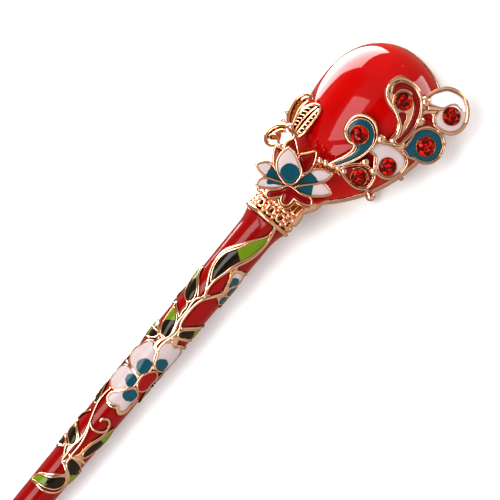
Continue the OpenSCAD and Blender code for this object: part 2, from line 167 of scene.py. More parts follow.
BIG_CENTRE = [(-33.85, 1.3), (-33.4, 0.7), (-32.4, 0.3), (-31.4, 0.34), (-30.6, 0.8), (-29.95, 1.5),
              (-30.3, 1.95), (-31.8, 2.05), (-33.3, 1.95)]

# Petals that the face shows little of or not at all. Columns: flower, station, angle around the stem,
# petal length, petal width, radius of the centre, directions of the petals
OTHER_PETALS = [
    ("big_flower", 31.9, 40, 4.2, 3.4, 1.5, (58, 118)),
    ("small_flower", 12.3, 108, 2.4, 2.2, 0.7, (30, 102, 174)),
    ("back_flower", 33.5, 215, 3, 2.6, 0.8, (-90, -18, 54, 126, 198)),
]

# Gold stalks. Columns: half the width at the start and the end, then points, some with their own half width
STALKS = [
    (0.38, 0.2, [(-27.2, -0.9, 0.38), (-26.4, -1.25, 0.8), (-25.5, -1.15, 0.6), (-24.6, -0.75, 0.25),
     (-23.6, -0.42, 0.2), (-22.6, -0.5), (-21.6, -0.85), (-20, -0.95, 0.25), (-18.8, -1, 0.21),
     (-17.6, -1.15, 0.25), (-16.6, -1.05, 0.2), (-16.2, -0.75), (-15.9, -0.5), (-15.3, -0.42, 0.19),
     (-14.4, -0.8), (-13, -1.6), (-11.8, -2.2), (-10.4, -2.6, 0.25), (-9, -2.66, 0.28), (-7.7, -2.45),
     (-6.6, -1.95), (-5.5, -1.2), (-4.3, -0.4), (-3.2, 0.3), (-2, 1.1), (-1.1, 1.42, 0.19), (0.2, 1.25)]),
    (0.25, 0.25, [(-28.8, 0.15), (-27.6, -0.35), (-26.4, -0.6), (-25.3, -0.5), (-24.4, -0.2, 0.28),
     (-23.2, 0.05, 0.25), (-22, -0.05, 0.2), (-21.2, -0.4, 0.25), (-19.8, -0.6, 0.28), (-18.4, -0.62, 0.28),
     (-17, -0.45, 0.28), (-16, -0.1, 0.3), (-15.1, 0.5, 0.38), (-14.2, 1.15, 0.38), (-13, 1.8, 0.35),
     (-12.2, 2)]),
    (0.3, 0.25, [(-15.6, -0.2), (-14.6, -0.55), (-13, -0.68, 0.2), (-11.4, -0.38), (-10, 0.05),
     (-9, 0.4, 0.33), (-8, 0.85), (-6.8, 1.4), (-5.4, 1.82), (-4, 2), (-2.6, 2), (-1.2, 1.8), (0.2, 1.45)]),
    (0.38, 0.4, [(-13.2, 1.7), (-12, 1.45), (-10.6, 1.15), (-9.6, 0.7, 0.45), (-9.1, 1.2, 0.38), (-8.9, 1.9),
     (-8.6, 2.5)]),
    (0.18, 0.2, [(-16.2, -1.1), (-15.3, -1.7), (-14.4, -2.4), (-13.5, -3.1), (-12.2, -3.5)]),
    (0.2, 0.18, [(-20.7, -1.2), (-20.2, -1.9), (-19.7, -2.6), (-19.1, -3.2)]),
    (0.16, 0.16, [(-20.9, -3.05), (-20, -3.1), (-19.1, -3.2)]),
    (0.18, 0.15, [(-20.6, -1.25), (-19.6, -1.45), (-18.4, -1.5), (-17.9, -1.9)]),
    (0.28, 0.25, [(-24.2, 0.1), (-23.6, 0.3), (-23.35, 1), (-22.9, 2), (-22.5, 2.6)]),
    (0.25, 0.33, [(-21.9, 0.1), (-21.3, 0.8), (-20.5, 1.7), (-19.8, 2.4), (-19.4, 2.7)]),
    (0.2, 0.25, [(-24.4, 0.3), (-24.5, 1.2), (-24.1, 1.9), (-23.9, 2.7)]),
    (0.25, 0.2, [(-27.1, -2.9), (-26.6, -2.6), (-26.3, -3.4)]),
    (0.25, 0.25, [(-24.9, -1.9), (-23.8, -3), (-23.4, -3.6)]),
    (0.21, 0.21, [(-36.4, -2.45), (-37.2, -2.6), (-38.4, -2.66), (-39.6, -2.6, 0.25), (-40.8, -2.25),
     (-42, -1.85), (-43, -1.52), (-44, -1.2), (-45.2, -0.98), (-46.4, -1.02, 0.28), (-47.6, -1.2),
     (-48.8, -1.15), (-50.4, -1.1)]),
    (0.25, 0.16, [(-46, -1.15), (-45.2, -2.1), (-44.4, -3), (-43.7, -3.4)]),
    (0.16, 0.16, [(-43.7, -3.4), (-42.6, -3.3), (-41.2, -2.6)]),
    (0.18, 0.18, [(-49.2, -3.3), (-48.7, -2.5), (-48.1, -2.1, 0.25), (-47.4, -2.8), (-46.9, -3.5)]),
    (0.18, 0.2, [(-49.6, -1.3), (-48.8, -1.8), (-48.1, -2.1), (-47.5, -1.5)]),
    (0.24, 0.12, [(-42.9, -1.45), (-43.3, -0.5, 0.27), (-43.2, 0.4, 0.29), (-42.7, 1.1, 0.29),
     (-41.9, 1.35, 0.28), (-41.1, 1.1, 0.3), (-40.65, 0.55, 0.28), (-40.85, 0, 0.34), (-41.35, -0.38, 0.26),
     (-41.75, -0.3, 0.12)]),
    (0.22, 0.18, [(-49.4, -0.4), (-48.2, -0.42, 0.18), (-46.8, -0.42), (-45.4, -0.6), (-44.2, -0.9),
     (-43.2, -1.3)]),
    (0.25, 0.2, [(-49, 0.2), (-48, 0.5), (-46.6, 0.62), (-45, 0.85), (-43.8, 1.25), (-42.6, 1.45),
     (-41.8, 1.45)]),
    (0.3, 0.25, [(-48.9, -0.9, 0.3), (-48.8, 0.1, 0.5), (-48.5, 1.2, 0.45), (-48.6, 2.1, 0.4)]),
    (0.28, 0.25, [(-50.4, -1.1), (-50.7, -0.3), (-51.3, 0.6, 0.4), (-51.9, 1.25, 0.5), (-52.8, 1.75),
     (-54, 1.85), (-55, 1.5), (-55.7, 0.6), (-56.05, -0.6), (-56, -1.8), (-55.95, -2.8)]),
    (0.19, 0.25, [(-55.2, -2.95), (-54.2, -2.3), (-53.5, -1.3), (-52.7, -0.3), (-52.1, 0.5), (-51.6, 1)]),
    (0.38, 0.38, [(-38.5, -1.6), (-38.6, -0.6, 0.38), (-38.25, 0.3, 0.43), (-38.75, 1.2, 0.45),
     (-38.1, 1.8, 0.3), (-36.8, 1.9, 0.25), (-35.2, 2.05, 0.25)]),
    (0.38, 0.3, [(-31.6, -3.4), (-31.85, -2.6, 0.25), (-31.95, -1.6, 0.21), (-32.05, -0.5, 0.25),
     (-32.1, 0.05)]),
    (0.28, 0.28, [(-35.8, -1), (-34.9, -0.3), (-34.1, 0.35), (-33.9, 0.8)]),
]
# Flat gold where stalks meet: outlines
WEBS = [
    [(-26.9, -1.1), (-26.4, -1.75), (-25.5, -1.95), (-24.9, -2), (-25.1, -1.4), (-24.9, -0.9), (-24.6, -0.7),
     (-25.3, -0.75), (-26, -0.8), (-26.9, -0.85)],
    [(-29.3, 0.3), (-28.4, -0.25), (-27.6, -0.55), (-26.4, -0.72), (-25.4, -0.6), (-24.5, -0.2), (-23.5, 0),
     (-22.5, 0), (-21.7, -0.15), (-21.6, 0.3), (-22.3, 0.2), (-23.1, 0.3), (-23.4, 0.95), (-24.1, 1.2),
     (-24.7, 1.9), (-24.75, 0.9), (-25, 0.1), (-25.8, -0.35), (-27, -0.3), (-27.9, 0.15), (-28.9, 0.75),
     (-29.6, 1.3), (-29.9, 0.8)],
    [(-15.7, -0.3), (-15.2, -0.35), (-14.9, 0.1), (-14.5, 0.7), (-13.7, 1.2), (-12.6, 1.45), (-12, 1.3),
     (-11.6, 1.75), (-11.8, 2.05), (-13, 2.25), (-13.9, 2.1), (-14.3, 2), (-15, 2.1), (-14.5, 1.5),
     (-14.5, 1.1), (-15, 0.6), (-15.6, 0.2), (-16.3, -0.2)],
    [(-10.1, 0), (-9, 0.35), (-7.9, 0.9), (-8.7, 0.95), (-9, 1.3), (-8.7, 2), (-8.3, 2.6), (-8.9, 2.7),
     (-9, 1.9), (-9.6, 1.3), (-10.4, 1.15), (-11.4, 1.35), (-11.8, 1.45), (-11, 1.15), (-10, 0.85),
     (-9.8, 0.5)],
    [(-49.3, -0.6), (-48.8, -0.5), (-48.3, 0.05), (-47.7, 0.4), (-46.6, 0.5), (-46.6, 0.7), (-47.5, 0.85),
     (-47.9, 1.2), (-47.8, 1.5), (-48.3, 1.5), (-48.9, 1.7), (-49.4, 1.95), (-49.5, 1.7), (-49.15, 1),
     (-49.1, 0.3), (-49.2, -0.2), (-49.6, -0.45)],
    [(-50.5, -1), (-49.7, -0.75), (-49.3, -0.45), (-50, -0.3), (-50.6, 0.15), (-51.1, 0.8), (-51.5, 1.4),
     (-52.1, 1.9), (-53, 2.1), (-53.6, 2), (-52.9, 1.55), (-52.35, 1.1), (-52.2, 0.7), (-51.6, 0.55),
     (-51.1, 0.2), (-50.75, -0.5)],
    [(-50.2, -1.5), (-49, -1.5), (-48.3, -1.9), (-47.9, -2.2), (-47.7, -1.6), (-47.2, -1.3), (-46.4, -1.5),
     (-45.8, -1.9), (-45.7, -1.35), (-44.8, -1.35), (-45.6, -0.95), (-47, -0.95), (-48.6, -1), (-50.1, -1.1)],
]
# Stalks around the back. Columns: half the width, then stations and angles around the stem
BACK_STALKS = [
    (0.18, [(12.8, 98), (11.6, 130), (9.8, 178), (14, 192), (18.6, 196), (22.2, 180)]),
    (0.18, [(24.6, -78), (26.4, -104), (28.6, -122), (29.6, 196)]),
    (0.18, [(27.4, 156), (28.4, 176), (29.2, 196)]),
    (0.18, [(37.4, 222), (41, 190), (45, 176), (48.6, 179)]),
    (0.18, [(16, 212), (18, 240), (19.6, 285), (19.3, 308)]),
    (0.16, [(48.9, 179), (50.4, 150), (50.9, 110), (50, 62)]),
]

# Feathers of the fan. Columns: colour, plane (a place on it, its height there, its rise along and across),
# the stone's centre, the stone's radius, outlines of the enamel, gold strokes as in the stalks' table
FEATHERS = [
    ("teal", (-5.2, 0.34, 11.15, 0.249, 0), (20, 2.25), 1.46, [[(13.55, 1.9), (13.55, 1.9), (14.6, 2.45),
     (15.8, 3), (17, 3.42), (18, 3.4), (18.45, 3), (18.35, 2.2), (18.7, 1), (19.4, 0.35), (20.4, 0.1),
     (21.5, 0.4), (22.3, 1.2), (22.5, 2.2), (22.2, 3.2), (21.4, 4.1), (20.4, 4.7), (19.3, 4.85), (18, 4.65),
     (16.6, 4.15), (15.2, 3.4), (14, 2.6)]], [(0.26, 0.3, [(13.1, 1.55), (14.2, 1.95), (15.4, 2.5),
     (16.6, 2.9), (17.8, 2.95), (18.35, 2.6), (18.2, 2), (18.35, 1.1), (19.1, 0.1), (20.3, -0.28),
     (21.6, -0.15, 0.34), (22.6, 0.6, 0.34), (23.05, 1.8, 0.34), (22.9, 3), (22.2, 4.05, 0.24),
     (21.2, 4.8, 0.16), (20, 5.1, 0.13), (18.4, 5, 0.12), (16.8, 4.5, 0.12), (15.2, 3.7, 0.12),
     (13.9, 2.8, 0.14), (13.2, 1.7, 0.2)])]),
    ("wine", (3.4, -1.86, 11.1, -0.07, 0.194), (28.65, 4.25), 1.42, [[(28.3, 2.25), (28.9, 1.65), (29.9, 1.5),
     (30.8, 2.1), (31.25, 3.4), (31.15, 4.7), (30.5, 6), (29.4, 7), (27.8, 7.75), (26, 8.1), (24.3, 8.1),
     (22.9, 7.85), (22.9, 7.5), (24.4, 7.5), (26, 7.3), (27.6, 6.85), (29, 6.1), (29.9, 5.1), (30.25, 4),
     (30, 3.1), (29.3, 2.55)], [(25.4, 6.6), (25.4, 6.6), (26.2, 5.7), (26.8, 4.85), (27.15, 5.1),
     (27.35, 5.9), (27, 6.2), (26.3, 6.45)]], [(0.5, 0.16, [(22.7, 6.95, 0.4), (24, 6.95, 0.46),
     (25.2, 6.45, 0.4), (26.1, 5.3, 0.34), (26.7, 4, 0.34), (27, 2.9, 0.34), (27.6, 1.7, 0.34),
     (28.6, 0.98, 0.34), (29.8, 0.82, 0.34), (31, 1.4, 0.34), (31.65, 2.8, 0.34), (31.6, 4.3, 0.32),
     (31.05, 5.7, 0.28), (29.9, 7, 0.2), (28.3, 7.95, 0.16), (26.2, 8.4, 0.15), (24, 8.4, 0.15),
     (22.7, 8.1, 0.18), (22.4, 7.4, 0.3)]), (0.2, 0.14, [(26.75, 4.75), (26.95, 3.7), (27.6, 2.85),
     (28.7, 2.45), (29.8, 2.75), (30.35, 3.7), (30.3, 4.6)])]),
    ("white", (6.6, -9.06, 8.9, -0.14, 0.2126), (31.85, 11.6), 1.42, [[(30.9, 7.3), (31.6, 7.1), (32.5, 7.2),
     (33.6, 7.8), (34.5, 8.5), (35, 9.6), (35.2, 10.6), (35.05, 11.6), (34.4, 12.5), (33.5, 13.3),
     (32.2, 13.85), (31, 13.85), (30.1, 13.35), (29.5, 12.5), (29.2, 11.5), (29.3, 10.6), (29.8, 10),
     (30.6, 9.7), (31.4, 9.5), (31.5, 8.8), (31.2, 8)]], [(0.28, 0.24, [(31.3, 6.45, 0.34), (32.5, 6.8),
     (33.8, 7.35), (34.8, 8.15), (35.35, 9.15), (35.55, 10.3), (35.35, 11.6), (34.6, 12.75), (33.6, 13.6),
     (32.3, 14.15), (31, 14.15), (29.9, 13.6), (29.25, 12.7), (28.9, 11.5), (29, 10.4), (29.6, 9.7),
     (30.3, 9.3)]), (0.5, 0.2, [(30.4, 7.9, 0.5), (31, 8.7, 0.42), (31.5, 9.45, 0.3), (32.3, 10, 0.24),
     (33.1, 10.3, 0.24), (33.65, 10.85, 0.24), (33.8, 11.6, 0.24), (33.65, 12.3, 0.2)])]),
    ("teal", (0.3, -9.06, 9, 0, 0.268), (25.5, 11.6), 1.5, [[(22.55, 9.35), (23.6, 9.25), (25, 9.15),
     (26.2, 9), (27.2, 9.45), (28, 10.5), (28.25, 11.8), (27.8, 13), (26.8, 13.85), (25.5, 14.1),
     (24.2, 13.65), (23.35, 12.6), (23.05, 11.4), (22.6, 10.6)]], [(0.14, 0.14, [(22.4, 9.2, 0.2), (23.6, 9),
     (25, 8.85), (26.4, 8.75, 0.2), (27.5, 9.3, 0.24), (28.4, 10.4, 0.26), (28.7, 11.8, 0.26),
     (28.2, 13.2, 0.2), (27, 14.15), (25.5, 14.4), (24, 13.95), (23.05, 12.8), (22.75, 11.5), (22.35, 10.5),
     (22.35, 9.4, 0.16)])]),
    ("white", (-6.1, -6.46, 9.35, 0.0875, 0.325), (19.1, 9), 1.4, [[(19.3, 5.1), (20.5, 5.05), (21.3, 6.1),
     (21.95, 7.3), (22.15, 8.6), (22, 9.9), (21.4, 10.7), (20.2, 11), (18.8, 10.7), (17.8, 9.9), (17.45, 8.7),
     (17.8, 7.8), (18.7, 7.1), (19.3, 6.4)]], [(0.18, 0.18, [(19, 4.8), (19.1, 5.6), (19, 6.3),
     (18.4, 6.85, 0.24), (17.5, 7.6, 0.26), (17.15, 8.7, 0.26), (17.5, 10.1, 0.22), (18.7, 11),
     (20.2, 11.35, 0.2), (21.7, 11, 0.2), (22.4, 9.9, 0.2), (22.5, 8.5, 0.2), (22.2, 7.1, 0.2),
     (21.4, 5.8, 0.2), (20.8, 4.9, 0.2)]), (0.13, 0.13, [(21.4, 5.2), (22.3, 6.6), (22.85, 8.3), (22.75, 9.9),
     (22.4, 10.8)])]),
    ("wine", (-10.4, -3.96, 8.5, 0.176, 0.364), (14.8, 6.65), 1.3, [[(14.15, 3.9), (15.1, 4.25), (16, 5.1),
     (16.7, 6.3), (16.85, 7.3), (16.4, 8.15), (15.4, 8.5), (14.4, 8.35), (13.75, 7.5), (13.5, 6.2),
     (13.65, 4.9)]], [(0.2, 0.2, [(14, 3.55, 0.26), (15.3, 3.95, 0.22), (16.4, 5), (17.1, 6.3), (17.25, 7.4),
     (16.7, 8.45), (15.5, 8.85), (14.25, 8.7), (13.4, 7.7), (13.15, 6.2), (13.35, 4.7), (13.8, 3.6, 0.24)]),
     (0.13, 0.1, [(15.2, 5), (16, 5.5), (16.3, 6.5), (16.05, 7.5), (15.6, 8)])]),
]

# Gold plates of the second and third feather. Columns: the feather's place in the list, the outline
PLATES = [
    (1, [(22.4, 6.4), (24, 6.3), (25.3, 5.7), (26.1, 4.6), (26.5, 3), (27.2, 1.6), (28.4, 0.6), (29.9, 0.5),
     (31.3, 1), (31.9, 2.6), (31.9, 4.4), (31.3, 5.9), (30.2, 7.2), (28.4, 8.2), (26.2, 8.6), (24, 8.6),
     (22.5, 8.3)]),
    (2, [(30, 7), (31, 6.9), (31.6, 8), (31.8, 9), (32.2, 9.7), (31.5, 9.9), (30.8, 9.7), (30.2, 9.9),
     (29.6, 10.1), (29.3, 9.8), (30.1, 8.9), (29.6, 8.3), (28.9, 7.8), (29.3, 7.1)]),
]
# Where the third feather's white enamel turns to the near pure white of a painted highlight: a point and a
# direction in degrees
PAINTED_HIGHLIGHT_EDGE = ((32.8, 10.9), -28)

# Gold beads between the feathers. Columns: place along, place across, height on the fan's face, radius
BEADS = [
    (-7.8, -3.2, 10.3, 0.85),
    (-8, -5.2, 9.7, 0.85),
    (-3.5, -2.8, 11.8, 0.9),
    (-2.2, -5.8, 10.4, 0.9),
    (2.7, -5.6, 10.4, 0.95),
    (3.75, -9, 9.4, 0.7),
    (5.7, -4.4, 10.5, 0.9),
    (-12.3, 2.4, 10, 0.6),
    (-12, 1.4, 10, 0.6),
    (-11.6, 0.4, 10, 0.6),
    (-11.3, -0.6, 9.8, 0.6),
    (-11.1, -1.6, 9.6, 0.6),
]
# Feet of the fan. Columns: place along the bezel, then the place along, across and height where the foot ends
FEET = [(-10.9, (-10.6, -5.2, 8.4)), (-5.4, (-5.8, -8.2, 9.1)), (0.8, (0.4, -10.4, 8.9)), (5.6,
        (6.4, -9.8, 9))]
# Half widths of a foot at its start and its end
FOOT_WIDTHS = (0.4, 0.36)
# The ball at the start of the first foot: place along, how far out, height, radius
FOOT_BALL = (-10.9, 0.7, 1.4, 0.8)
# The stone radius that the feathers' stones are drawn for
DRAWN_STONE = 1.4
# Heights of the gold strokes, of the rims around the enamel and of the stones' collets
STROKE_HEIGHT, RIM_HEIGHT, COLLET_HEIGHT = 0.36, 0.24, 0.3

# Petals of the lotus. Columns: kind, level, rise outwards, half planes of the light part (a point and
# a direction in degrees), round teal base if it has one (centre and radius), the outline
LOTUS = [
    ("petal", 3, 0.05, [], ((8.2, -2.2), 1.62), [(6.8, -1.3), (6.85, -2.8), (7.4, -4), (8.3, -4.85),
     (9.5, -5.2), (11.1, -4.95), (11.1, -4.95), (11.15, -4), (10.75, -3), (10.2, -2), (9.6, -1.1),
     (8.5, -0.68), (7.4, -0.8)]),
    ("wine", 1, -0.12, [], None, [(7.3, -4.1), (7.7, -5), (8.6, -5.8), (9.4, -6.3), (10.15, -6.6),
     (10.15, -6.6), (10.3, -5.3), (9.2, -4.6), (8.2, -4)]),
    ("wine", 1, -0.12, [], None, [(10.6, -4.6), (10.8, -5.35), (11.8, -5.6), (12.9, -5.2), (12.9, -5.2),
     (12.4, -4.5), (11.9, -3.9), (11.35, -3.3), (10.9, -3.8)]),
    ("wine", 2, -0.1, [], None, [(9.7, -0.7), (10.3, -1.5), (10.8, -2.3), (11.35, -2.75), (12.3, -2.1),
     (13.5, -1.25), (13.5, -1.25), (12.6, -0.7), (11.4, -0.3), (10.4, -0.3)]),
    ("petal", 1, 0.05, [((6.6, -5.15), -100)], None, [(6.45, -1.7), (6, -2.6), (5.65, -3.8), (5.45, -5),
     (5.5, -6.2), (5.9, -7.1), (5.9, -7.1), (6.6, -6.7), (7.2, -6.1), (7.35, -5.3), (7.1, -4.2), (6.95, -3),
     (6.75, -2)]),
    ("petal", 2, 0.05, [((4.9, -4.15), -112), ((4.95, -3.4), 145)], None, [(3.45, -5.1), (3.45, -5.1),
     (4.3, -5.15), (5, -4.8), (5.4, -4), (5.75, -3.1), (6.2, -2.2), (6.35, -1.6), (5.8, -1.85), (4.8, -2.8),
     (4, -3.8), (3.55, -4.5)]),
    ("petal", 1, -0.1, [((10.45, 0.9), 10)], None, [(7, -0.5), (8, -0.45), (9, -0.25), (10.2, 0.1),
     (11.2, 0.5), (11.9, 1.2), (12.3, 2.1), (12.5, 3), (12.5, 3), (11.4, 2.9), (10.2, 2.4), (9.2, 1.6),
     (8.2, 0.6)]),
    ("petal", 2, -0.1, [((8.55, 2.25), 60)], None, [(6.95, 0), (7.6, 0.4), (8.5, 1.15), (9.4, 2), (10.4, 2.9),
     (10.4, 3.7), (10, 4.8), (10, 4.8), (9.2, 4.3), (8.4, 3.5), (7.7, 2.6), (7.2, 1.5)]),
    ("wine", 3, -0.05, [], None, [(3.15, -2.65), (3.7, -2.95), (4.5, -2.35), (5.4, -1.6), (6.2, -1.3),
     (6.6, -0.6), (6.65, 0.3), (6.7, 1.2), (6.9, 2), (7.2, 2.6), (7, 3.2), (6.6, 3.5), (6.6, 3.5), (6.2, 3),
     (5.9, 2.2), (5.7, 1.3), (5.65, 0.75), (5.1, 0.8), (4.4, 0.7), (3.9, 0.3), (3.95, -0.25), (4.4, -0.65),
     (4.95, -0.85), (4.4, -1.2), (3.8, -1.7), (3.3, -2.2)]),
]
LOTUS_CENTRE = (7.0, -0.6)
# Height of its level nought over the fan's face, and from one level to the next
LOTUS_HEIGHT, LOTUS_STEP = 9.3, 0.45
# Profile of the post under it. Columns: height over the fan's face, radius
LOTUS_POST = [(7.8, 0), (7.8, 1.4), (9.9, 1.4), (9.9, 0)]
# Gold scrolls beside the lotus, as in the stalks' table, with a height on the fan's face first
LOTUS_SCROLLS = [
    (9.6, 0.3, 0.3, [(3.1, -2.2), (3.7, -1.5), (4, -1), (3.6, -0.4), (3.45, 0.3), (3.8, 0.95, 0.34),
     (4.6, 1.2, 0.36), (5.4, 1.3, 0.36), (5.5, 2), (5.8, 2.9), (6.3, 3.7)]),
    (8.5, 0.2, 0.2, [(3.7, 2.15), (4.4, 2.1), (5.3, 2.15)]),
    (8.4, 0.2, 0.24, [(3.6, 3), (4.4, 2.95), (5.5, 3.1)]),
    (8.6, 0.24, 0.24, [(12, -0.2), (12.4, 0.6), (12.2, 1.4, 0.3), (12.9, 2), (12.8, 2.8, 0.3), (13.4, 3.4),
     (13.2, 4.2)]),
    (8.4, 0.22, 0.22, [(12.7, 0.3), (13, 1.1, 0.28), (13.4, 1.8), (13.2, 2.6, 0.28), (13.8, 3.4)]),
]

# The shoulder that runs from the collar along the bezel. Columns: place along, place across, height over the
# fan's face, radius
SHOULDER = [(2.4, 3, 6, 1.1), (3.6, 2.9, 6.4, 1.15), (4.8, 2.6, 6.3, 1.15), (6, 3.2, 5.6, 1.2),
            (7, 3.9, 4.6, 1.1), (7.9, 4.3, 3.6, 0.8), (9.3, 5.4, 2.4, 0.4), (11.2, 6.9, 1.9, 0.28)]
# Outline of the gold that shows through the shoulder's scrolls, painted orange as a painted reflection
GROUND = [(3.6, 1.3), (5.4, 1.3), (5.6, 2.2), (5.7, 3.1), (4.6, 3.15), (3.6, 3.1)]

# The butterfly's plane, as in the feathers' table, and its gold strokes, as in the stalks' table
BUTTERFLY_PLANE = (-11.4, 9.4, 6.1, 0, -0.781)
BUTTERFLY = [
    (0.3, 0.3, [(14, -6.9), (14.3, -7.6), (15.1, -8.3), (16.3, -8.85), (17.6, -9.15), (18.8, -9.1),
     (19.7, -8.6), (20.05, -7.8), (19.8, -7.1, 0.2)]),
    (0.2, 0.18, [(13.9, -6.6), (14.8, -7), (16, -7.4), (17.3, -7.75), (18.4, -7.7), (19.3, -7.6, 0.24),
     (19.3, -8.2, 0.24), (18.4, -8.5)]),
    (0.22, 0.22, [(13.7, -6.5), (15, -6.95), (16.4, -7.25), (17.7, -7.2), (18.9, -6.8), (19.5, -6.1),
     (19.55, -5.4), (18.8, -4.95), (17.4, -4.8), (15.8, -4.75), (14.4, -4.75), (13.4, -5.1)]),
    (0.2, 0.2, [(13.7, -5.9), (15.2, -6.1), (16.8, -6.2), (18.2, -6.1), (19.3, -5.8)]),
    (0.2, 0.2, [(13.7, -5.5), (15.2, -5.55), (16.8, -5.55), (18.2, -5.5), (19.2, -5.35)]),
    (0.34, 0.3, [(13.3, -5.6), (13.75, -6.4, 0.26), (13.8, -7.4, 0.3), (13.4, -8.3, 0.34), (12.5, -9, 0.34),
     (11.3, -9.25), (10.3, -9), (9.75, -8.3), (9.85, -7.5), (10.3, -7), (10.6, -6.3), (10.3, -5.7, 0.24)]),
    (0.2, 0.24, [(11, -8.7), (11.5, -8.1), (11.35, -7.3), (10.9, -6.7), (11.2, -6.1), (12, -5.9),
     (12.9, -5.8)]),
    (0.16, 0.2, [(10.5, -8.3), (10.9, -8.7), (11.4, -8.5), (12.4, -8.2), (13, -7.5), (12.9, -6.9)]),
    (0.5, 0.34, [(13.6, -4.9, 0.3), (13.8, -5.6, 0.5), (13.9, -6.4, 0.46), (14.1, -7, 0.4)]),
    (0.14, 0.12, [(14.1, -7.1), (14.2, -7.9), (14.2, -8.5)]),
    (0.14, 0.12, [(14.2, -7.1), (14.8, -8.2), (15.5, -8.95)]),
]
# The thin gold of its wings. Columns: how much painted warm reflection and painted shade its gold gets, the
# outline
MEMBRANES = [
    (0.85, [(13.9, -6.3), (15.2, -6.9), (17, -7.2), (18.7, -6.8), (19.4, -6), (19.3, -5.3), (18, -4.9),
     (15.5, -4.8), (13.8, -4.9)]),
    (0.36, [(14.2, -6.9), (15, -7.9), (16.3, -8.6), (17.8, -8.9), (19.2, -8.8), (19.6, -8.1), (19.2, -7.7),
     (17.6, -7.8), (16, -7.4)]),
    (0.4, [(10.4, -8.7), (11.4, -9.1), (12.5, -8.8), (13.4, -8), (13.4, -7.3), (12.4, -7.3), (11.5, -6.9),
     (11, -7.4)]),
]
# Its ladders of ribs. Columns: first and last place along, places across of the two ends, how many, slant
RIBS = [(14.9, 18.9, -7.05, -6.1, 7, 0.3), (14.4, 18.8, -5.5, -4.85, 7, 0.2)]
# Beads of its head and feelers, and the rod from its body down to the fan's head. Columns: place along, place
# across, height over its plane, radius
BUTTERFLY_BEADS = [(14.2, -8.7, 0.5, 0.34), (15.6, -9.1, 0.5, 0.34), (14.1, -7.2, 0.5, 0.5)]
BUTTERFLY_ROD = [(13.8, -6.6, 0.2, 0.5), (14.2, -6, -2.6, 0.45)]
# Its stone: place along and across, radius, height over its plane
BUTTERFLY_STONE = ((13.9, -6.45), 0.4, 0.42)

# The radius of the collar's rings that its tables are drawn for, and the one below which its gold is painted
# dark as painted shade
DRAWN_COLLAR, PAINTED_SHADE_BELOW = 4.3, 3.7
# Profile of the collar. Columns: distance along it, radius
COLLAR = [(-0.02, 0), (-0.02, 3.9), (0.06, 4.14), (0.24, 4.28), (0.48, 4.28), (0.66, 4.14), (0.74, 3.9),
          (0.85, 3.62), (1.2, 3.5), (2.6, 3.5), (2.8, 3.62), (2.9, 3.95), (3.45, 3.95), (3.55, 3.65),
          (5.2, 3.6), (6.2, 3.3), (6.9, 2.8), (7.3, 2.2), (7.4, 0)]
# The loops of its band: distance along, radius, size, half width
LOOPS = (1.85, 3.9, 0.66, 0.27)
# Beads between the loops. Columns: distance along, distance from the axis, radius, how much that varies
LOOP_BEADS = [(1.85, 3.9, 0.3, 0.05), (1.15, 3.7, 0.44, 0), (2.6, 3.75, 0.4, 0)]
# Its rope ring: turns, distance along, radius, half width
ROPE = (22, 3.2, 4.05, 0.25)
# A scroll of its shoulder. Columns: distance along, degrees around, radius, half width
SCROLL = [(3.6, -22, 3.8, 0.24), (4.3, -25, 3.9, 0.24), (5.1, -21, 3.85, 0.26), (5.6, -10, 3.75, 0.28),
          (5.5, 3, 3.8, 0.28), (4.9, 9, 3.95, 0.26), (4.3, 4, 4, 0.24), (4.4, -6, 4, 0.2)]


def metres(label, value, text):
    """A length of the add-on's sizes, in metres."""
    return FloatProperty(name=label, description=text, default=value, min=0, precision=5, unit="LENGTH")


def shade(label, value, text):
    """A colour of the add-on's finishes."""
    return FloatVectorProperty(name=label, description=text, default=value, size=3, min=0, max=1,
                               subtype="COLOR")


class StemSizes(bpy.types.PropertyGroup):
    """Sizes of the stem and the relief on it."""

    length: metres("Length", 0.139, "From the collar to the rounded tip")
    radius: metres("Radius", 0.0032, "Below the flare")
    flare_radius: metres("Flare radius", 0.0038, "Where the stem enters the collar")
    tip_radius: metres("Tip radius", 0.00185, "Just before the rounded tip")
    wire_height: metres("Wire height", 0.00034, "Height of the gold lines above the red enamel")
    enamel_edge: metres("Enamel edge", 0.00017, "Height of the leaf and petal enamel where it meets the gold")
    enamel_dome: metres("Enamel dome", 0.00013, "How much the enamel swells in its middle")
    border: metres("Border", 0.00017, "Half the width of the gold around a leaf or petal")


class HeadSizes(bpy.types.PropertyGroup):
    """Sizes of the drop, its bezel and the collar."""

    drop_radius: metres("Drop radius", 0.0105, "Radius of the drop's round end and its height")
    nose_radius: metres("Nose radius", 0.004, "Radius of the drop's narrow end")
    drop_reach: metres("Drop reach", 0.0145, "Distance between the centres of the drop's ends")
    plate: metres("Plate", 0.001, "Thickness of the back plate")
    wall: metres("Wall", 0.00022, "Thickness of the bezel's wall")
    wall_height: metres("Wall height", 0.001, "Height of the bezel's wall above the back plate")
    collar_radius: metres("Collar radius", 0.0043, "Radius of the collar's rings")
    beads: IntProperty(name="Beads", description="Loops around the collar", default=12, min=6, max=20)
    scrolls: IntProperty(name="Scrolls", description="Scrolls around the shoulder", default=7, min=4, max=10)


class FanSizes(bpy.types.PropertyGroup):
    """Sizes of the feathers, the lotus and the butterfly."""

    stone_radius: metres("Stone radius", 0.0014, "Radius of the rhinestones")
    rim: metres("Rim", 0.00019, "Half the width of the gold rims")
    tray: metres("Tray", 0.0006, "Thickness of the gold trays")
    petal: metres("Petal", 0.00045, "Thickness of the lotus's petals")
    rib: metres("Rib", 0.00014, "Radius of the butterfly's ribs")


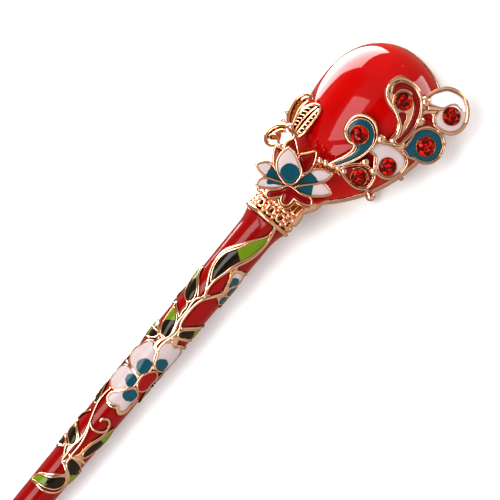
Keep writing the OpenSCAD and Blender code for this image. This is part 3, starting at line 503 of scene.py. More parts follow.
class Finishes(bpy.types.PropertyGroup):
    """Colours of the finishes."""

    gold: shade("Gold", (0.98, 0.6, 0.42), "Rose gold plating")
    # Painted reflection: the orange that gold shows where it faces other gold, painted on wings, beads, loops
    # and wire feet.
    painted_warm_reflection: shade("Warm gold", (0.8, 0.28, 0.07), "Gold of the butterfly's wings")
    # Painted shade: the dark painted on gold in the collar's grooves, on collets, on wing gold and at the
    # feet of wires.
    recess: shade("Recess", (0.1, 0.035, 0.012), "Dark of the cast metal's recesses")
    red: shade("Red enamel", (0.25, 0.0008, 0.0006), "Enamel of the stem")
    dark_green: shade("Dark green", (0.007, 0.0045, 0.0012), "Base of a leaf")
    light_green: shade("Light green", (0.12, 0.2, 0.003), "Point of a leaf")
    white: shade("White", (0.57, 0.455, 0.445), "Lotus petals and white feathers")
    # Painted highlight: the near pure white that the third feather's curl is painted, where a light shines
    # off it
    bright: shade("Bright white", (0.93, 0.92, 0.92), "Curl of the third feather")
    # Painted shade: the stem's petals are the same white enamel, given this darker copy of it
    petal: shade("Petal white", (0.52, 0.415, 0.405), "Petals of the stem's flowers")
    teal: shade("Teal", (0.003, 0.056, 0.08), "Bases of the petals and teal feathers")
    wine: shade("Wine red", (0.175, 0.0006, 0.001), "Dark red feathers and petals")
    agate: shade("Agate", (0.42, 0.0004, 0.0006), "The drop")
    ruby: shade("Ruby", (0.9, 0.008, 0.004), "The rhinestones")


class Studio(bpy.types.PropertyGroup):
    """The floor, the lights and the camera."""

    view_width: metres("View width", 0.08, "Width that the camera sees at the face of the head")
    camera_distance: metres("Camera distance", 0.62, "From the face of the head")
    power: FloatProperty(name="Power", description="Factor on the power of the lights", default=1, min=0)
    surround: FloatProperty(name="Surround", description="Brightness of the surround", default=0.76, min=0)
    floor: shade("Floor", (0.93, 0.93, 0.93), "Colour of the floor")


GROUPS = {"kanzashi_stem": StemSizes, "kanzashi_head": HeadSizes, "kanzashi_fan": FanSizes,
          "kanzashi_finish": Finishes, "kanzashi_studio": Studio}


def sizes(group):
    """The lengths of a property group, in millimetres."""
    values = getattr(bpy.context.scene, "kanzashi_" + group)
    return {name: getattr(values, name) / MM for name, value in values.bl_rna.properties.items()
            if getattr(value, "unit", "") == "LENGTH"}


def colour(name):
    """One of the finishes' colours, with an alpha."""
    return (*getattr(bpy.context.scene.kanzashi_finish, name), 1)


def put(name, data):
    """A new object of the scene."""
    made = bpy.data.objects.new(name, data)
    bpy.context.scene.collection.objects.link(made)
    return made


# Nodes


def add(tree, kind, values=(), **settings):
    """Adds a node. Its settings are set first, then each input gets its value or its link."""
    made = tree.nodes.new(kind)
    for name, value in settings.items():
        setattr(made, name, value)
    for key, value in dict(values).items():
        if isinstance(value, bpy.types.NodeSocket):
            tree.links.new(value, made.inputs[key])
        else:
            made.inputs[key].default_value = value
    return made


def calc(tree, operation, *terms):
    """The result of a math node."""
    return add(tree, "ShaderNodeMath", enumerate(terms), operation=operation).outputs[0]


# The kinds of a tree's inputs
SOCKETS = {float: "NodeSocketFloat", int: "NodeSocketInt"}


def geometry_tree(name, inputs):
    """A Geometry Nodes tree with named inputs. Returns it, what it is given and its output node."""
    tree = bpy.data.node_groups.new(name, "GeometryNodeTree")
    tree.interface.new_socket("Geometry", in_out="INPUT", socket_type="NodeSocketGeometry")
    for label, value in inputs.items():
        kind = "NodeSocketMaterial" if value is None else SOCKETS[type(value)]
        socket = tree.interface.new_socket(label, in_out="INPUT", socket_type=kind)
        if value is not None:
            socket.default_value = value
    tree.interface.new_socket("Geometry", in_out="OUTPUT", socket_type="NodeSocketGeometry")
    return tree, tree.nodes.new("NodeGroupInput").outputs, tree.nodes.new("NodeGroupOutput")


def ending(tree, geometry, material, out):
    """Ends a tree with plain, smooth mesh in its material, and returns it."""
    plain = add(tree, "GeometryNodeRealizeInstances", {0: geometry})
    smooth = add(tree, "GeometryNodeSetShadeSmooth", {0: plain.outputs[0]})
    done = add(tree, "GeometryNodeSetMaterial", {0: smooth.outputs[0], 2: material})
    tree.links.new(done.outputs[0], out.inputs[0])
    return tree


def position(tree):
    """The three coordinates of each point."""
    return add(tree, "ShaderNodeSeparateXYZ", {0: add(tree, "GeometryNodeInputPosition").outputs[0]}).outputs


def half_width(tree):
    """The half_width attribute of each point."""
    return add(tree, "GeometryNodeInputNamedAttribute", {"Name": "half_width"}, data_type="FLOAT").outputs[0]


def wrapped(tree, geometry, given):
    """Bends flat geometry around the stem. X is the station, Y the way around and Z the height."""
    math_node = partial(calc, tree)
    station, way, height = position(tree)
    run = math_node("SUBTRACT", given["Length"], given["Flare length"])
    share = math_node("DIVIDE", math_node("SUBTRACT", station, given["Flare length"]), run)
    taper = math_node("MULTIPLY", math_node("SUBTRACT", given["Radius"], given["Tip radius"]), share)
    cone = math_node("MINIMUM", math_node("SUBTRACT", given["Radius"], taper), given["Radius"])
    near = math_node("SUBTRACT", 1.0, math_node("DIVIDE", station, given["Flare length"]))
    rise = math_node("POWER", math_node("MAXIMUM", near, 0.0), 2.0)
    flare = math_node("MULTIPLY", math_node("SUBTRACT", given["Flare radius"], given["Radius"]), rise)
    radius = math_node("ADD", cone, flare)
    angle = math_node("SUBTRACT", -FACE_TILT, math_node("DIVIDE", way, radius))
    reach = math_node("ADD", radius, height)
    around = add(tree, "ShaderNodeCombineXYZ", {
        0: math_node("MULTIPLY", reach, math_node("COSINE", angle)),
        1: math_node("MULTIPLY", reach, math_node("SINE", angle)), 2: station})
    bent = add(tree, "GeometryNodeSetPosition", {0: geometry, 2: around.outputs[0]})
    return add(tree, "GeometryNodeTransform", {
        0: bent.outputs[0], 1: [value * MM for value in STEM_AT], 2: (0, -math.pi / 2 - STEM_SLOPE, 0),
        3: (1, 1, 1)}).outputs[0]


def stem_inputs():
    """The stem's sizes, as inputs of a tree, in metres."""
    s = bpy.context.scene.kanzashi_stem
    return {"Radius": s.radius, "Tip radius": s.tip_radius, "Flare radius": s.flare_radius,
            "Flare length": FLARE_LENGTH * MM, "Length": s.length - NOSE_LENGTH * MM}


def stem_wrap_tree():
    """Wraps flat enamel around the stem."""
    tree, given, out = geometry_tree("Wrap on the stem", {**stem_inputs(), "Material": None})
    return ending(tree, wrapped(tree, given["Geometry"], given), given["Material"], out)


def wire_tree(pressed, on_stem):
    """Draws a wire along each line of edges. The half_width attribute is its radius. It may be pressed to one
    height with a flat top, with a dark colour painted on its foot as painted shade, and then wrapped around
    the stem."""
    # Foot: how much painted shade the wire's foot gets; the stem's wires get more than the head's
    pressing = {"Wire height": 0.0003, "Flat top": 0.0003, "Foot": 2.0 if on_stem else 0.8}
    tree, given, out = geometry_tree("Wire", {
        "Sides": 10, **(pressing if pressed else {}), **(stem_inputs() if on_stem else {}), "Material": None})
    width = half_width(tree)
    line = add(tree, "GeometryNodeMeshToCurve", {0: given["Geometry"]})
    profile = add(tree, "GeometryNodeCurvePrimitiveCircle", {"Resolution": given["Sides"], "Radius": 1.0})
    wire = add(tree, "GeometryNodeCurveToMesh", {
        0: line.outputs[0], 1: profile.outputs[0], 2: width, 3: True}).outputs[0]
    if pressed:
        x, y, z = position(tree)
        squeeze = calc(tree, "DIVIDE", given["Wire height"], width)
        low = calc(tree, "MINIMUM", calc(tree, "MULTIPLY", z, squeeze), given["Flat top"])
        cut = add(tree, "ShaderNodeCombineXYZ", {0: x, 1: y, 2: low})
        wire = add(tree, "GeometryNodeSetPosition", {0: wire, 2: cut.outputs[0]}).outputs[0]
        # Painted shade: the lower part of the wire is marked for a dark foot where it meets the enamel
        share = calc(tree, "DIVIDE", position(tree)[2], given["Wire height"])
        foot = ramp(tree, share, 0.64, 0.84, given["Foot"], 0.0)
        wire = add(tree, "GeometryNodeStoreNamedAttribute", {
            0: wire, "Name": "recess", "Value": foot}, data_type="FLOAT").outputs[0]
    return ending(tree, wrapped(tree, wire, given) if on_stem else wire, given["Material"], out)


def bead_tree():
    """Puts a bead on each point. The half_width attribute is its radius."""
    tree, given, out = geometry_tree("Beads", {"Segments": 16, "Rings": 10, "Material": None})
    bead = add(tree, "GeometryNodeMeshUVSphere", {0: given["Segments"], 1: given["Rings"], 2: 1.0})
    set_out = add(tree, "GeometryNodeInstanceOnPoints", {
        0: given["Geometry"], 2: bead.outputs[0], 6: half_width(tree)})
    return ending(tree, set_out.outputs[0], given["Material"], out)


def copies_tree():
    """Repeats a piece around the X axis of its own frame."""
    tree, given, out = geometry_tree("Copies around", {"Count": 7, "Material": None})
    points = add(tree, "GeometryNodePoints", {0: given["Count"]})
    index = add(tree, "GeometryNodeInputIndex").outputs[0]
    step = calc(tree, "DIVIDE", 2 * math.pi, given["Count"])
    turn = add(tree, "ShaderNodeCombineXYZ", {0: calc(tree, "MULTIPLY", index, step)}).outputs[0]
    set_out = add(tree, "GeometryNodeInstanceOnPoints", {0: points.outputs[0], 2: given["Geometry"], 5: turn})
    return ending(tree, set_out.outputs[0], given["Material"], out)


def socket_name(label):
    """The name that a tree's input has as an argument."""
    return label.replace(" ", "_").lower()


def run_tree(tree, mesh, **inputs):
    """The plain mesh that a tree makes of a mesh."""
    maker = put("maker", mesh)
    modifier = maker.modifiers.new("maker", "NODES")
    modifier.node_group = tree
    for item in tree.interface.items_tree:
        if item.in_out == "INPUT" and socket_name(item.name) in inputs:
            modifier[item.identifier] = inputs[socket_name(item.name)]
    bpy.context.view_layer.update()
    evaluated = maker.evaluated_get(bpy.context.evaluated_depsgraph_get())
    made = bpy.data.meshes.new_from_object(evaluated)
    maker.modifiers.remove(modifier)
    bpy.data.objects.remove(maker)
    return made


@cache
def tree_for(kind):
    """One of the object's trees, built the first time that it is asked for."""
    return {"wrap": stem_wrap_tree, "beads": bead_tree, "copies": copies_tree,
            "stem_wire": partial(wire_tree, True, True), "flat_wire": partial(wire_tree, True, False),
            "wire": partial(wire_tree, False, False)}[kind]()


def made_by(kind, mesh, material="gold", **inputs):
    """The plain mesh that one of the object's trees makes of a mesh."""
    return run_tree(tree_for(kind), mesh, material=finish(material), **inputs)


# Materials


def shader(name, **values):
    """A new material, its tree and its Principled shader with the given values."""
    made = bpy.data.materials.new(name)
    made.use_nodes = True
    principled = made.node_tree.nodes["Principled BSDF"]
    for label, value in values.items():
        principled.inputs[label.replace("_", " ")].default_value = value
    return made, made.node_tree, principled


def noise(tree, scale, detail=2.0, distortion=0.0):
    """A noise pattern on Object coordinates."""
    coordinates = add(tree, "ShaderNodeTexCoord").outputs["Object"]
    return add(tree, "ShaderNodeTexNoise", {
        "Vector": coordinates, "Scale": scale, "Detail": detail, "Distortion": distortion}).outputs["Fac"]


def ramp(tree, value, low, high, out_low, out_high):
    """A value taken from one range to another."""
    return add(tree, "ShaderNodeMapRange", {0: value, 1: low, 2: high, 3: out_low, 4: out_high}).outputs[0]


def uneven(tree, scale, low, high, detail=2.0):
    """A value that wanders from low to high in a noise pattern."""
    return ramp(tree, noise(tree, scale, detail), 0.3, 0.7, low, high)


def mixed(tree, share, first, second):
    """Two colours mixed."""
    return add(tree, "ShaderNodeMix", {0: share, 6: first, 7: second}, data_type="RGBA").outputs[2]


def bumped(tree, height, distance, strength):
    """A bump from a height pattern."""
    bump = add(tree, "ShaderNodeBump", {"Height": height, "Distance": distance, "Strength": strength})
    return bump.outputs[0]


def link(tree, principled, **inputs):
    """Links sockets to the shader's inputs."""
    for name, socket in inputs.items():
        tree.links.new(socket, principled.inputs[name.replace("_", " ")])


def attribute(tree, name):
    """One of the piece's own attributes."""
    return add(tree, "ShaderNodeAttribute", attribute_name=name).outputs["Fac"]


def shaded(tint, share):
    """A colour that is darker by a share, with an alpha."""
    return (*(share * value for value in tint[:3]), 1)


def gold_finish():
    """Polished rose gold plating. An attribute paints it a warmer gold, as painted reflection, then a dark
    gold and near black, as painted shade.
    """
    made, tree, principled = shader("rose_gold", Metallic=1)
    base = colour("gold")
    bright = mixed(tree, ramp(tree, noise(tree, 420), 0.35, 0.65, 0, 1), shaded(base, 0.82), base)
    recess = attribute(tree, "recess")
    painted_warm_reflection = mixed(tree, ramp(tree, recess, 0, 0.5, 0, 1), bright, colour("painted_warm_reflection"))
    dark = mixed(tree, ramp(tree, recess, 0.5, 1, 0, 1), painted_warm_reflection, colour("recess"))
    # Painted shade: near black, for the deepest painted shade at the feet of wires.
    painted_near_black = shaded(colour("recess"), 0.12)
    link(tree, principled, Base_Color=mixed(tree, ramp(tree, recess, 1, 1.6, 0, 1), dark, painted_near_black),
         Roughness=uneven(tree, 1500, 0.03, 0.08),
         Normal=bumped(tree, noise(tree, 1100, 3), 0.00003, 0.2))
    return made


def enamel(name, tint, gloss=0.23):
    """Glossy fired enamel. tint makes its colour from the tree."""
    made, tree, principled = shader(name, Specular_IOR_Level=gloss)
    base = tint(tree)
    cloud = uneven(tree, 700, 0, 0.22, 4)
    shadow = add(tree, "ShaderNodeMix", {0: 1.0, 6: base, 7: (0.72, 0.72, 0.75, 1)},
                 data_type="RGBA", blend_type="MULTIPLY")
    link(tree, principled, Base_Color=mixed(tree, cloud, base, shadow.outputs[2]),
         Roughness=uneven(tree, 900, 0.06, 0.14),
         Normal=bumped(tree, noise(tree, 520, 2), 0.00005, 0.4))
    return made


def two_tones(dark, light, third=None):
    """A tint with a crisp line where the tone attribute is nought, and a third colour where centre is one."""
    def tint(tree):
        wobble = uneven(tree, 1600, -0.00008, 0.00008, 3)
        share = ramp(tree, calc(tree, "ADD", attribute(tree, "tone"), wobble), -0.00004, 0.00004, 0, 1)
        both = mixed(tree, share, colour(dark), colour(light))
        if third is None:
            return both
        return mixed(tree, attribute(tree, "centre"), both, colour(third))
    return tint


def plain(name):
    """A tint of one colour, a little deeper in places."""
    deep = shaded(colour(name), 0.8)
    return lambda tree: mixed(tree, uneven(tree, 260, 0, 0.3), colour(name), deep)


def agate_finish():
    """Polished red agate: faint darker clouds and tiny pale flecks under a clear gloss."""
    made, tree, principled = shader("agate", Roughness=0.05, Specular_IOR_Level=0.18)
    base = colour("agate")
    clouds = mixed(tree, ramp(tree, noise(tree, 90, 4, 0.6), 0.4, 0.75, 0, 0.7), base, shaded(base, 0.62))
    flecks = ramp(tree, noise(tree, 700, 2), 0.735, 0.78, 0, 0.35)
    link(tree, principled, Base_Color=mixed(tree, flecks, clouds, (0.8, 0.25, 0.2, 1)),
         Normal=bumped(tree, noise(tree, 60, 2), 0.00006, 0.3))
    return made


def ruby_finish():
    """Cut glass with foil behind it: each facet is painted lighter or darker than the next, as painted
    reflections.
    """
    made, tree, principled = shader("ruby", Specular_IOR_Level=0.12)
    base = colour("ruby")
    link(tree, principled, Base_Color=mixed(tree, attribute(tree, "facet"), shaded(base, 0.05), base),
         Roughness=uneven(tree, 900, 0.05, 0.12))
    return made


@cache
def finish(name):
    """One of the object's materials, made the first time that it is asked for."""
    return {
        "gold": gold_finish, "agate": agate_finish, "ruby": ruby_finish,
        "red": lambda: enamel("red_enamel", plain("red"), 0.21),
        "leaf": lambda: enamel("leaf_enamel", two_tones("dark_green", "light_green")),
        # The stem's petals use the darker copy of the white, as painted shade
        "petal": lambda: enamel("petal_enamel", two_tones("teal", "petal", "red")),
        "lotus": lambda: enamel("lotus_enamel", two_tones("teal", "white", "wine")),
        "teal": lambda: enamel("teal_enamel", plain("teal")),
        # The white enamel's second tone is a painted highlight
        "white": lambda: enamel("white_enamel", two_tones("white", "bright")),
        "wine": lambda: enamel("wine_enamel", plain("wine")),
    }[name]()


# Shapes


def smooth(points, step, closed=False):
    """Points a step apart on a smooth curve through the given ones. A point given twice is a corner."""
    p = np.array(points, float)
    count = len(p)

    def slope(i):
        i %= count
        before = p[i] - p[i - 1] if closed or i else None
        after = p[(i + 1) % count] - p[i] if closed or i < count - 1 else None
        sides = [(d, np.linalg.norm(d[:2])) for d in (before, after) if d is not None]
        sides = [(d / size, size) for d, size in sides if size > 1e-6]
        if len(sides) < 2:
            return sides[0][0]
        (first, a), (second, b) = sides
        return (first * b + second * a) / (a + b)

    out = []
    for i in range(count if closed else count - 1):
        a, b = p[i], p[(i + 1) % count]
        size = np.linalg.norm((b - a)[:2])
        if size < 1e-6:
            continue
        steps = max(1, round(size / step))
        f = (np.arange(steps) / steps)[:, None]
        out.append((2 * f**3 - 3 * f**2 + 1) * a + (f**3 - 2 * f**2 + f) * slope(i) * size
                   + (3 * f**2 - 2 * f**3) * b + (f**3 - f**2) * slope(i + 1) * size)
    if not closed:
        out.append(p[-1:])
    return np.concatenate(out)


def area(outline):
    """Twice the signed area of a flat outline."""
    x, y = outline[:, 0], outline[:, 1]
    return float(np.sum(x * np.roll(y, -1) - np.roll(x, -1) * y))


def counterclockwise(outline):
    """The outline, turned so that its inside is on the left."""
    return outline if area(outline) > 0 else outline[::-1]


def grown(outline, margin):
    """An outline, turned counterclockwise and moved outwards by a margin."""
    outline = counterclockwise(outline[:, :2])
    along = np.roll(outline, -1, 0) - np.roll(outline, 1, 0)
    along /= np.maximum(np.linalg.norm(along, axis=1, keepdims=True), 1e-9)
    return outline + margin * np.stack([along[:, 1], -along[:, 0]], 1)


def edge_distance(points, outline):
    """Distance from each point to the outline."""
    a = outline[None, :, :2]
    b = np.roll(outline, -1, 0)[None, :, :2]
    p = points[:, None, :2]
    along = b - a
    share = np.clip(((p - a) * along).sum(2) / np.maximum((along**2).sum(2), 1e-12), 0, 1)
    return np.linalg.norm(p - a - share[..., None] * along, axis=2).min(1)


def filled(outline, step):
    """Triangles that fill a flat counterclockwise outline. Returns points, triangles and how many points,
    the first ones, are the outline's."""
    low, high = outline.min(0), outline.max(0)
    rows = np.arange(low[1], high[1], step * 0.866)
    grid = [(x + (k % 2) * step / 2, y) for k, y in enumerate(rows) for x in np.arange(low[0], high[0], step)]
    grid = np.array(grid) if grid else np.zeros((0, 2))
    if len(grid):
        x, y = outline[:, 0], outline[:, 1]
        nx, ny = np.roll(x, -1), np.roll(y, -1)
        gx, gy = grid[:, :1], grid[:, 1:]
        cross = (y[None] > gy) != (ny[None] > gy)
        at = x[None] + (gy - y[None]) / np.where(ny == y, 1e-9, ny - y)[None] * (nx - x)[None]
        inside = (cross & (gx < at)).sum(1) % 2 == 1
        grid = grid[inside & (edge_distance(grid, outline) > 0.55 * step)]
    count = len(outline)
    points = [Vector(p) for p in np.concatenate([outline, grid])]
    made = delaunay_2d_cdt(points, [(i, (i + 1) % count) for i in range(count)], [], 1, 1e-6)
    flat, faces = np.array([tuple(p) for p in made[0]]), [tuple(f) for f in made[2]]
    return flat, faces, count


def past_line(at, degrees, side=1.0, shift=0.0):
    """Tone of flat points: how far they lie past a line through a place, in metres. side is -1 where the
    first coordinate runs down the stem."""
    a = math.radians(degrees)
    axis = side * np.array([math.cos(a), -math.sin(a)])
    return lambda p: ((p - at) @ axis - shift) * MM


def past_disc(at, radius):
    """Tone of flat points: how far they lie outside a disc, in metres."""
    return lambda p: (np.linalg.norm(p - at, axis=1) - radius) * MM


def with_widths(first, last, points):
    """Points with a half width each, their own or one between the first and the last."""
    between = np.linspace(first, last, len(points))
    return [(*p[:2], p[2] if len(p) > 2 else w) for p, w in zip(points, between)]


class Parts:
    """Meshes gathered into one piece, in millimetres."""

    def __init__(self):
        self.points, self.faces, self.values, self.count = [], [], {}, 0

    def add(self, points, faces, **values):
        """Adds points and faces, with values for the piece's attributes."""
        points = np.asarray(points, float).reshape(-1, 3)
        self.faces += [tuple(int(i) + self.count for i in face) for face in faces]
        for name in {**self.values, **values}:
            rows = self.values.setdefault(name, [np.zeros(self.count)] if self.count else [])
            rows.append(np.broadcast_to(np.asarray(values.get(name, 0.0), float), (len(points),)))
        self.points.append(points)
        self.count += len(points)

    def add_mesh(self, mesh, moved=None, **values):
        """Adds a mesh that a tree made, which is in metres. Its points may be moved by a function."""
        points = np.array([tuple(v.co) for v in mesh.vertices]) / MM
        # Keeps the painted shade that a wire tree stored on the mesh
        if "recess" in mesh.attributes and "recess" not in values:
            values["recess"] = np.zeros(len(points), np.float32)
            mesh.attributes["recess"].data.foreach_get("value", values["recess"])
        self.add(moved(points) if moved else points, [tuple(f.vertices) for f in mesh.polygons], **values)

    def mesh(self, moved=None):
        """The gathered mesh, in metres. Every point may be moved by a function first."""
        points = np.concatenate(self.points)
        made = bpy.data.meshes.new("parts")
        made.from_pydata((moved(points) if moved else points) * MM, [], self.faces)
        for label, rows in self.values.items():
            data = made.attributes.new(label, "FLOAT", "POINT").data
            data.foreach_set("value", np.concatenate(rows).astype(np.float32))
        made.shade_smooth()
        made.update()
        return made


def piece(name, mesh, material, slot, *nodes):
    """A finished piece: an object at the origin that rides on the body and stands for its CAD nodes."""
    mesh.name = name
    mesh.materials.clear()
    mesh.materials.append(finish(material))
    made = put(name, mesh)
    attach(made, BODY)
    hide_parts(*nodes)
    return made


def lines(paths):
    """A mesh of lines of edges, in metres, for the wire trees. Each path is points with a half width in
    their last column, and whether it closes."""
    points, edges, widths = [], [], []
    for path, closed in paths:
        start = len(points)
        points += [tuple(p[:3]) if len(p) > 3 else (p[0], p[1], 0) for p in path]
        widths += [p[-1] for p in path]
        edges += [(start + i, start + i + 1) for i in range(len(path) - 1)]
        if closed:
            edges.append((len(points) - 1, start))
    made = bpy.data.meshes.new("lines")
    made.from_pydata(np.array(points) * MM, edges, [])
    half_widths = made.attributes.new("half_width", "FLOAT", "POINT")
    half_widths.data.foreach_set("value", np.array(widths, np.float32) * MM)
    return made


def beads(rows, **inputs):
    """Beads at rows of coordinates with a radius last."""
    return made_by("beads", lines([([row], False) for row in rows]), **inputs)


def cushion(parts, outline, step, height, floor, moved=None, **values):
    """Adds enamel that fills an outline: its top, an upright edge and a flat underside. height is a number
    or a function of the points and their distance to the edge. values may be functions of the points. All of
    it may be moved by a function."""
    outline = counterclockwise(outline)
    flat, faces, count = filled(outline, step)
    heights = height(flat, edge_distance(flat, outline)) if callable(height) else np.full(len(flat), height)
    top = np.column_stack([flat, heights])
    under = np.column_stack([flat[:count], np.full(count, floor)])
    start = len(top)
    walls = [(i, start + i, start + (i + 1) % count, (i + 1) % count) for i in range(count)]
    base = [tuple(start + i for i in range(count - 1, -1, -1))]
    both = np.concatenate([top, under])
    parts.add(moved(both) if moved else both, [*faces, *walls, *base], **{
        name: value(both[:, :2]) if callable(value) else value for name, value in values.items()})


def pool(base, dome, reach):
    """Height of enamel in a gold rim: it climbs at the rim and swells towards its middle."""
    return lambda p, d: base + 0.04 * np.exp(-d / 0.14) + dome * (1 - np.exp(-d / reach))


def lathe(profile, segments, frame_of):
    """Turns a profile of (place along, radius) about an axis. Ends of radius nought are closed poles."""
    points, faces, rings = [], [], []
    for along, radius in profile:
        if radius <= 0:
            rings.append([len(points)])
            points.append((along, 0, 0))
        else:
            rings.append(list(range(len(points), len(points) + segments)))
            points += [(along, radius * math.cos(a), radius * math.sin(a))
                       for a in np.arange(segments) * 2 * math.pi / segments]
    for a, b in zip(rings, rings[1:]):
        for i in range(segments):
            j = (i + 1) % segments
            corners = [a[i % len(a)], a[j % len(a)], b[j % len(b)], b[i % len(b)]]
            faces.append(tuple(dict.fromkeys(corners)))
    return frame_of(np.array(points, float)), faces


def ball(centre, radius, bands=12):
    """A sphere."""
    profile = [(-math.cos(math.pi * k / bands), math.sin(math.pi * k / bands) if 0 < k < bands else 0)
               for k in range(bands + 1)]
    return lathe(profile, 20, lambda p: np.array(centre) + radius * p[:, [1, 2, 0]])


# The stem


def stem_radius(station):
    """Radius of the stem's red enamel."""
    s = sizes("stem")
    station = np.asarray(station, float)
    run = s["length"] - NOSE_LENGTH - FLARE_LENGTH
    cone = s["radius"] - (s["radius"] - s["tip_radius"]) * (station - FLARE_LENGTH) / run
    flare = (s["flare_radius"] - s["radius"]) * np.maximum(0, 1 - station / FLARE_LENGTH) ** 2
    return np.minimum(cone, s["radius"]) + flare


def on_skin(drawn):
    """Drawn points as stations and ways around the stem. Points past the silhouette go just round it."""
    drawn = np.array(drawn, float)
    station = -drawn[:, 0]
    radius = stem_radius(station)
    share = np.clip((drawn[:, 1] - AXIS_ACROSS) / (radius + SILHOUETTE_LIFT), -0.995, 0.995)
    return np.column_stack([station, np.arcsin(share) * radius, drawn[:, 2:]])


def at_angle(station, angle):
    """The way around the stem at an angle from its face, in degrees."""
    return np.radians(angle) * stem_radius(station)


def blade(length, width, bend, is_round):
    """Outline of a pointed leaf or a round petal, about its own middle."""
    f = np.linspace(0, 1, 15)
    half = np.sin(np.pi * f**1.25) ** 0.6 if is_round else np.sin(np.pi * f**0.8) ** 0.85
    half = np.nan_to_num(half)
    middle = bend * np.sin(np.pi * f)
    upper = np.column_stack([(f - 0.5) * length, middle + width / 2 * half])
    lower = np.column_stack([(f - 0.5) * length, middle - width / 2 * half])
    return np.concatenate([upper, lower[-2:0:-1]])


def turned(points, degrees):
    """Flat points turned about the origin."""
    a = math.radians(degrees)
    return points @ np.array([[math.cos(a), math.sin(a)], [-math.sin(a), math.cos(a)]])


def blade_at(station, angle, length, width, turn, bend=0.0, is_round=False):
    """A blade laid on the stem, as stations and ways around it."""
    drawn = turned(blade(length, width, bend, is_round), turn)
    return np.column_stack([station - drawn[:, 0], at_angle(station, angle) + drawn[:, 1]])


def hidden_petals(row):
    """Outlines of a flower's petals from its row, each with the end of its teal base."""
    _, station, angle, length, width, centre, directions = row
    for direction in directions:
        reach = centre + length / 2 + 0.1
        a = math.radians(direction)
        around = angle + math.degrees(reach * math.sin(a) / float(stem_radius(station)))
        base = (station - centre * 1.1 * math.cos(a), at_angle(station, angle) + centre * 1.1 * math.sin(a))
        petal = blade_at(station - reach * math.cos(a), around, length, width, direction, 0, True)
        yield petal, base, length * 0.42


def leaf_outlines():
    """Each leaf: its outline on the skin and a function that gives the tone of its points."""
    for point, direction, outline in LEAVES:
        yield on_skin(smooth(outline, FINE, True)), past_line(on_skin([point])[0], direction, -1)
    for station, angle, length, width, turn, bend in HIDDEN_LEAVES:
        at = np.array([station, at_angle(station, angle)])
        outline = smooth(blade_at(station, angle, length, width, turn, bend), COARSE, True)
        yield outline, past_line(at, turn, -1, length * 0.12)


def flower_outlines():
    """Each petal: its flower, its outline on the skin and a function that gives the tone of its points."""
    for name, base, radius, outline in PETALS:
        yield name, on_skin(smooth(outline, 0.25, True)), past_disc(on_skin([base])[0], radius)
    for row in OTHER_PETALS:
        for outline, base, radius in hidden_petals(row):
            yield row[0], smooth(outline, 0.25, True), past_disc(np.array(base), radius)


def flower_centres():
    """The red middle of each flower: its flower and its outline on the skin."""
    yield "big_flower", on_skin(smooth(BIG_CENTRE, 0.2, True))
    for name, station, angle, _, _, radius, _ in OTHER_PETALS[1:]:
        a = np.linspace(0, 2 * np.pi, 24, endpoint=False)
        middle = at_angle(station, angle)
        yield name, np.column_stack([station + radius * np.cos(a), middle + radius * np.sin(a)])


def swell(flat, distance):
    """Height of the enamel: pulled up at the gold, lower inside it and a little domed in the middle."""
    s = sizes("stem")
    reach = max(float(distance.max()), 0.1)
    climb = 0.05 * np.exp(-distance / 0.12)
    return s["enamel_edge"] + climb + s["enamel_dome"] * np.sin(np.clip(distance / reach, 0, 1) * np.pi / 2)


def tree_sizes():
    """The stem's sizes, as arguments for the trees."""
    return {socket_name(label): value for label, value in stem_inputs().items()}


def wrap_on_stem(parts, material):
    """The parts' mesh, wrapped around the stem."""
    return made_by("wrap", parts.mesh(), material, **tree_sizes())


# The head


def egg_radius(x, margin=0.0):
    """Radius of the drop's outline at a place along its axis, grown by a margin."""
    h = sizes("head")
    big, small, reach = h["drop_radius"], h["nose_radius"], h["drop_reach"]
    side = (reach**2 + big**2 - small**2) / (2 * (big - small))
    join = -reach * (1 + (small + margin) / (side - small))
    x = np.asarray(x, float)
    round_end = np.sqrt(np.maximum(0, (big + margin) ** 2 - x**2))
    flank = np.sqrt(np.maximum(0, (side + margin) ** 2 - x**2)) - (side - big)
    nose = np.sqrt(np.maximum(0, (small + margin) ** 2 - (x + reach) ** 2))
    return np.where(x >= 0, round_end, np.where(x > join, flank, nose))


def egg_outline(margin):
    """The drop's outline, grown by a margin, with even steps."""
    h = sizes("head")
    big, small, reach = h["drop_radius"] + margin, h["nose_radius"] + margin, h["drop_reach"]
    a = np.linspace(0, np.pi, 400)
    x = -reach / 2 + (big - small) / 2 + (reach / 2 + (big + small) / 2) * np.cos(a)
    half = np.column_stack([x, egg_radius(x, margin)])
    closed = np.concatenate([half, half[-2:0:-1] * (1, -1), half[:1]])
    size = np.concatenate([[0], np.cumsum(np.linalg.norm(np.diff(closed, axis=0), axis=1))])
    at = np.arange(OUTLINE_POINTS) * size[-1] / OUTLINE_POINTS
    return np.column_stack([np.interp(at, size, closed[:, 0]), np.interp(at, size, closed[:, 1])])


def on_head(points):
    """Points of the drop's own frame in the row frame, where one side of the drop is fuller."""
    c, s = math.cos(HEAD_LEAN), math.sin(HEAD_LEAN)
    placed = points @ np.array([[c, s, 0], [-s, c, 0], [0, 0, 1]])
    most, direction, reach = FULLER_SIDE
    way = np.degrees(np.arctan2(placed[:, 1], placed[:, 0]))
    out = np.hypot(placed[:, 0], placed[:, 1]) / sizes("head")["drop_radius"]
    more = most * np.exp(-(((way - direction) / reach) ** 2)) * out**3
    way = np.radians(way)
    return placed + np.column_stack([more * np.cos(way), more * np.sin(way), 0 * more])


def on_face(points):
    """Points of the fan's face (along, across, height) in the row frame."""
    c, s = math.cos(FACE_TILT), math.sin(FACE_TILT)
    return np.asarray(points, float) @ np.array([[1, 0, 0], [0, c, s], [0, -s, c]])


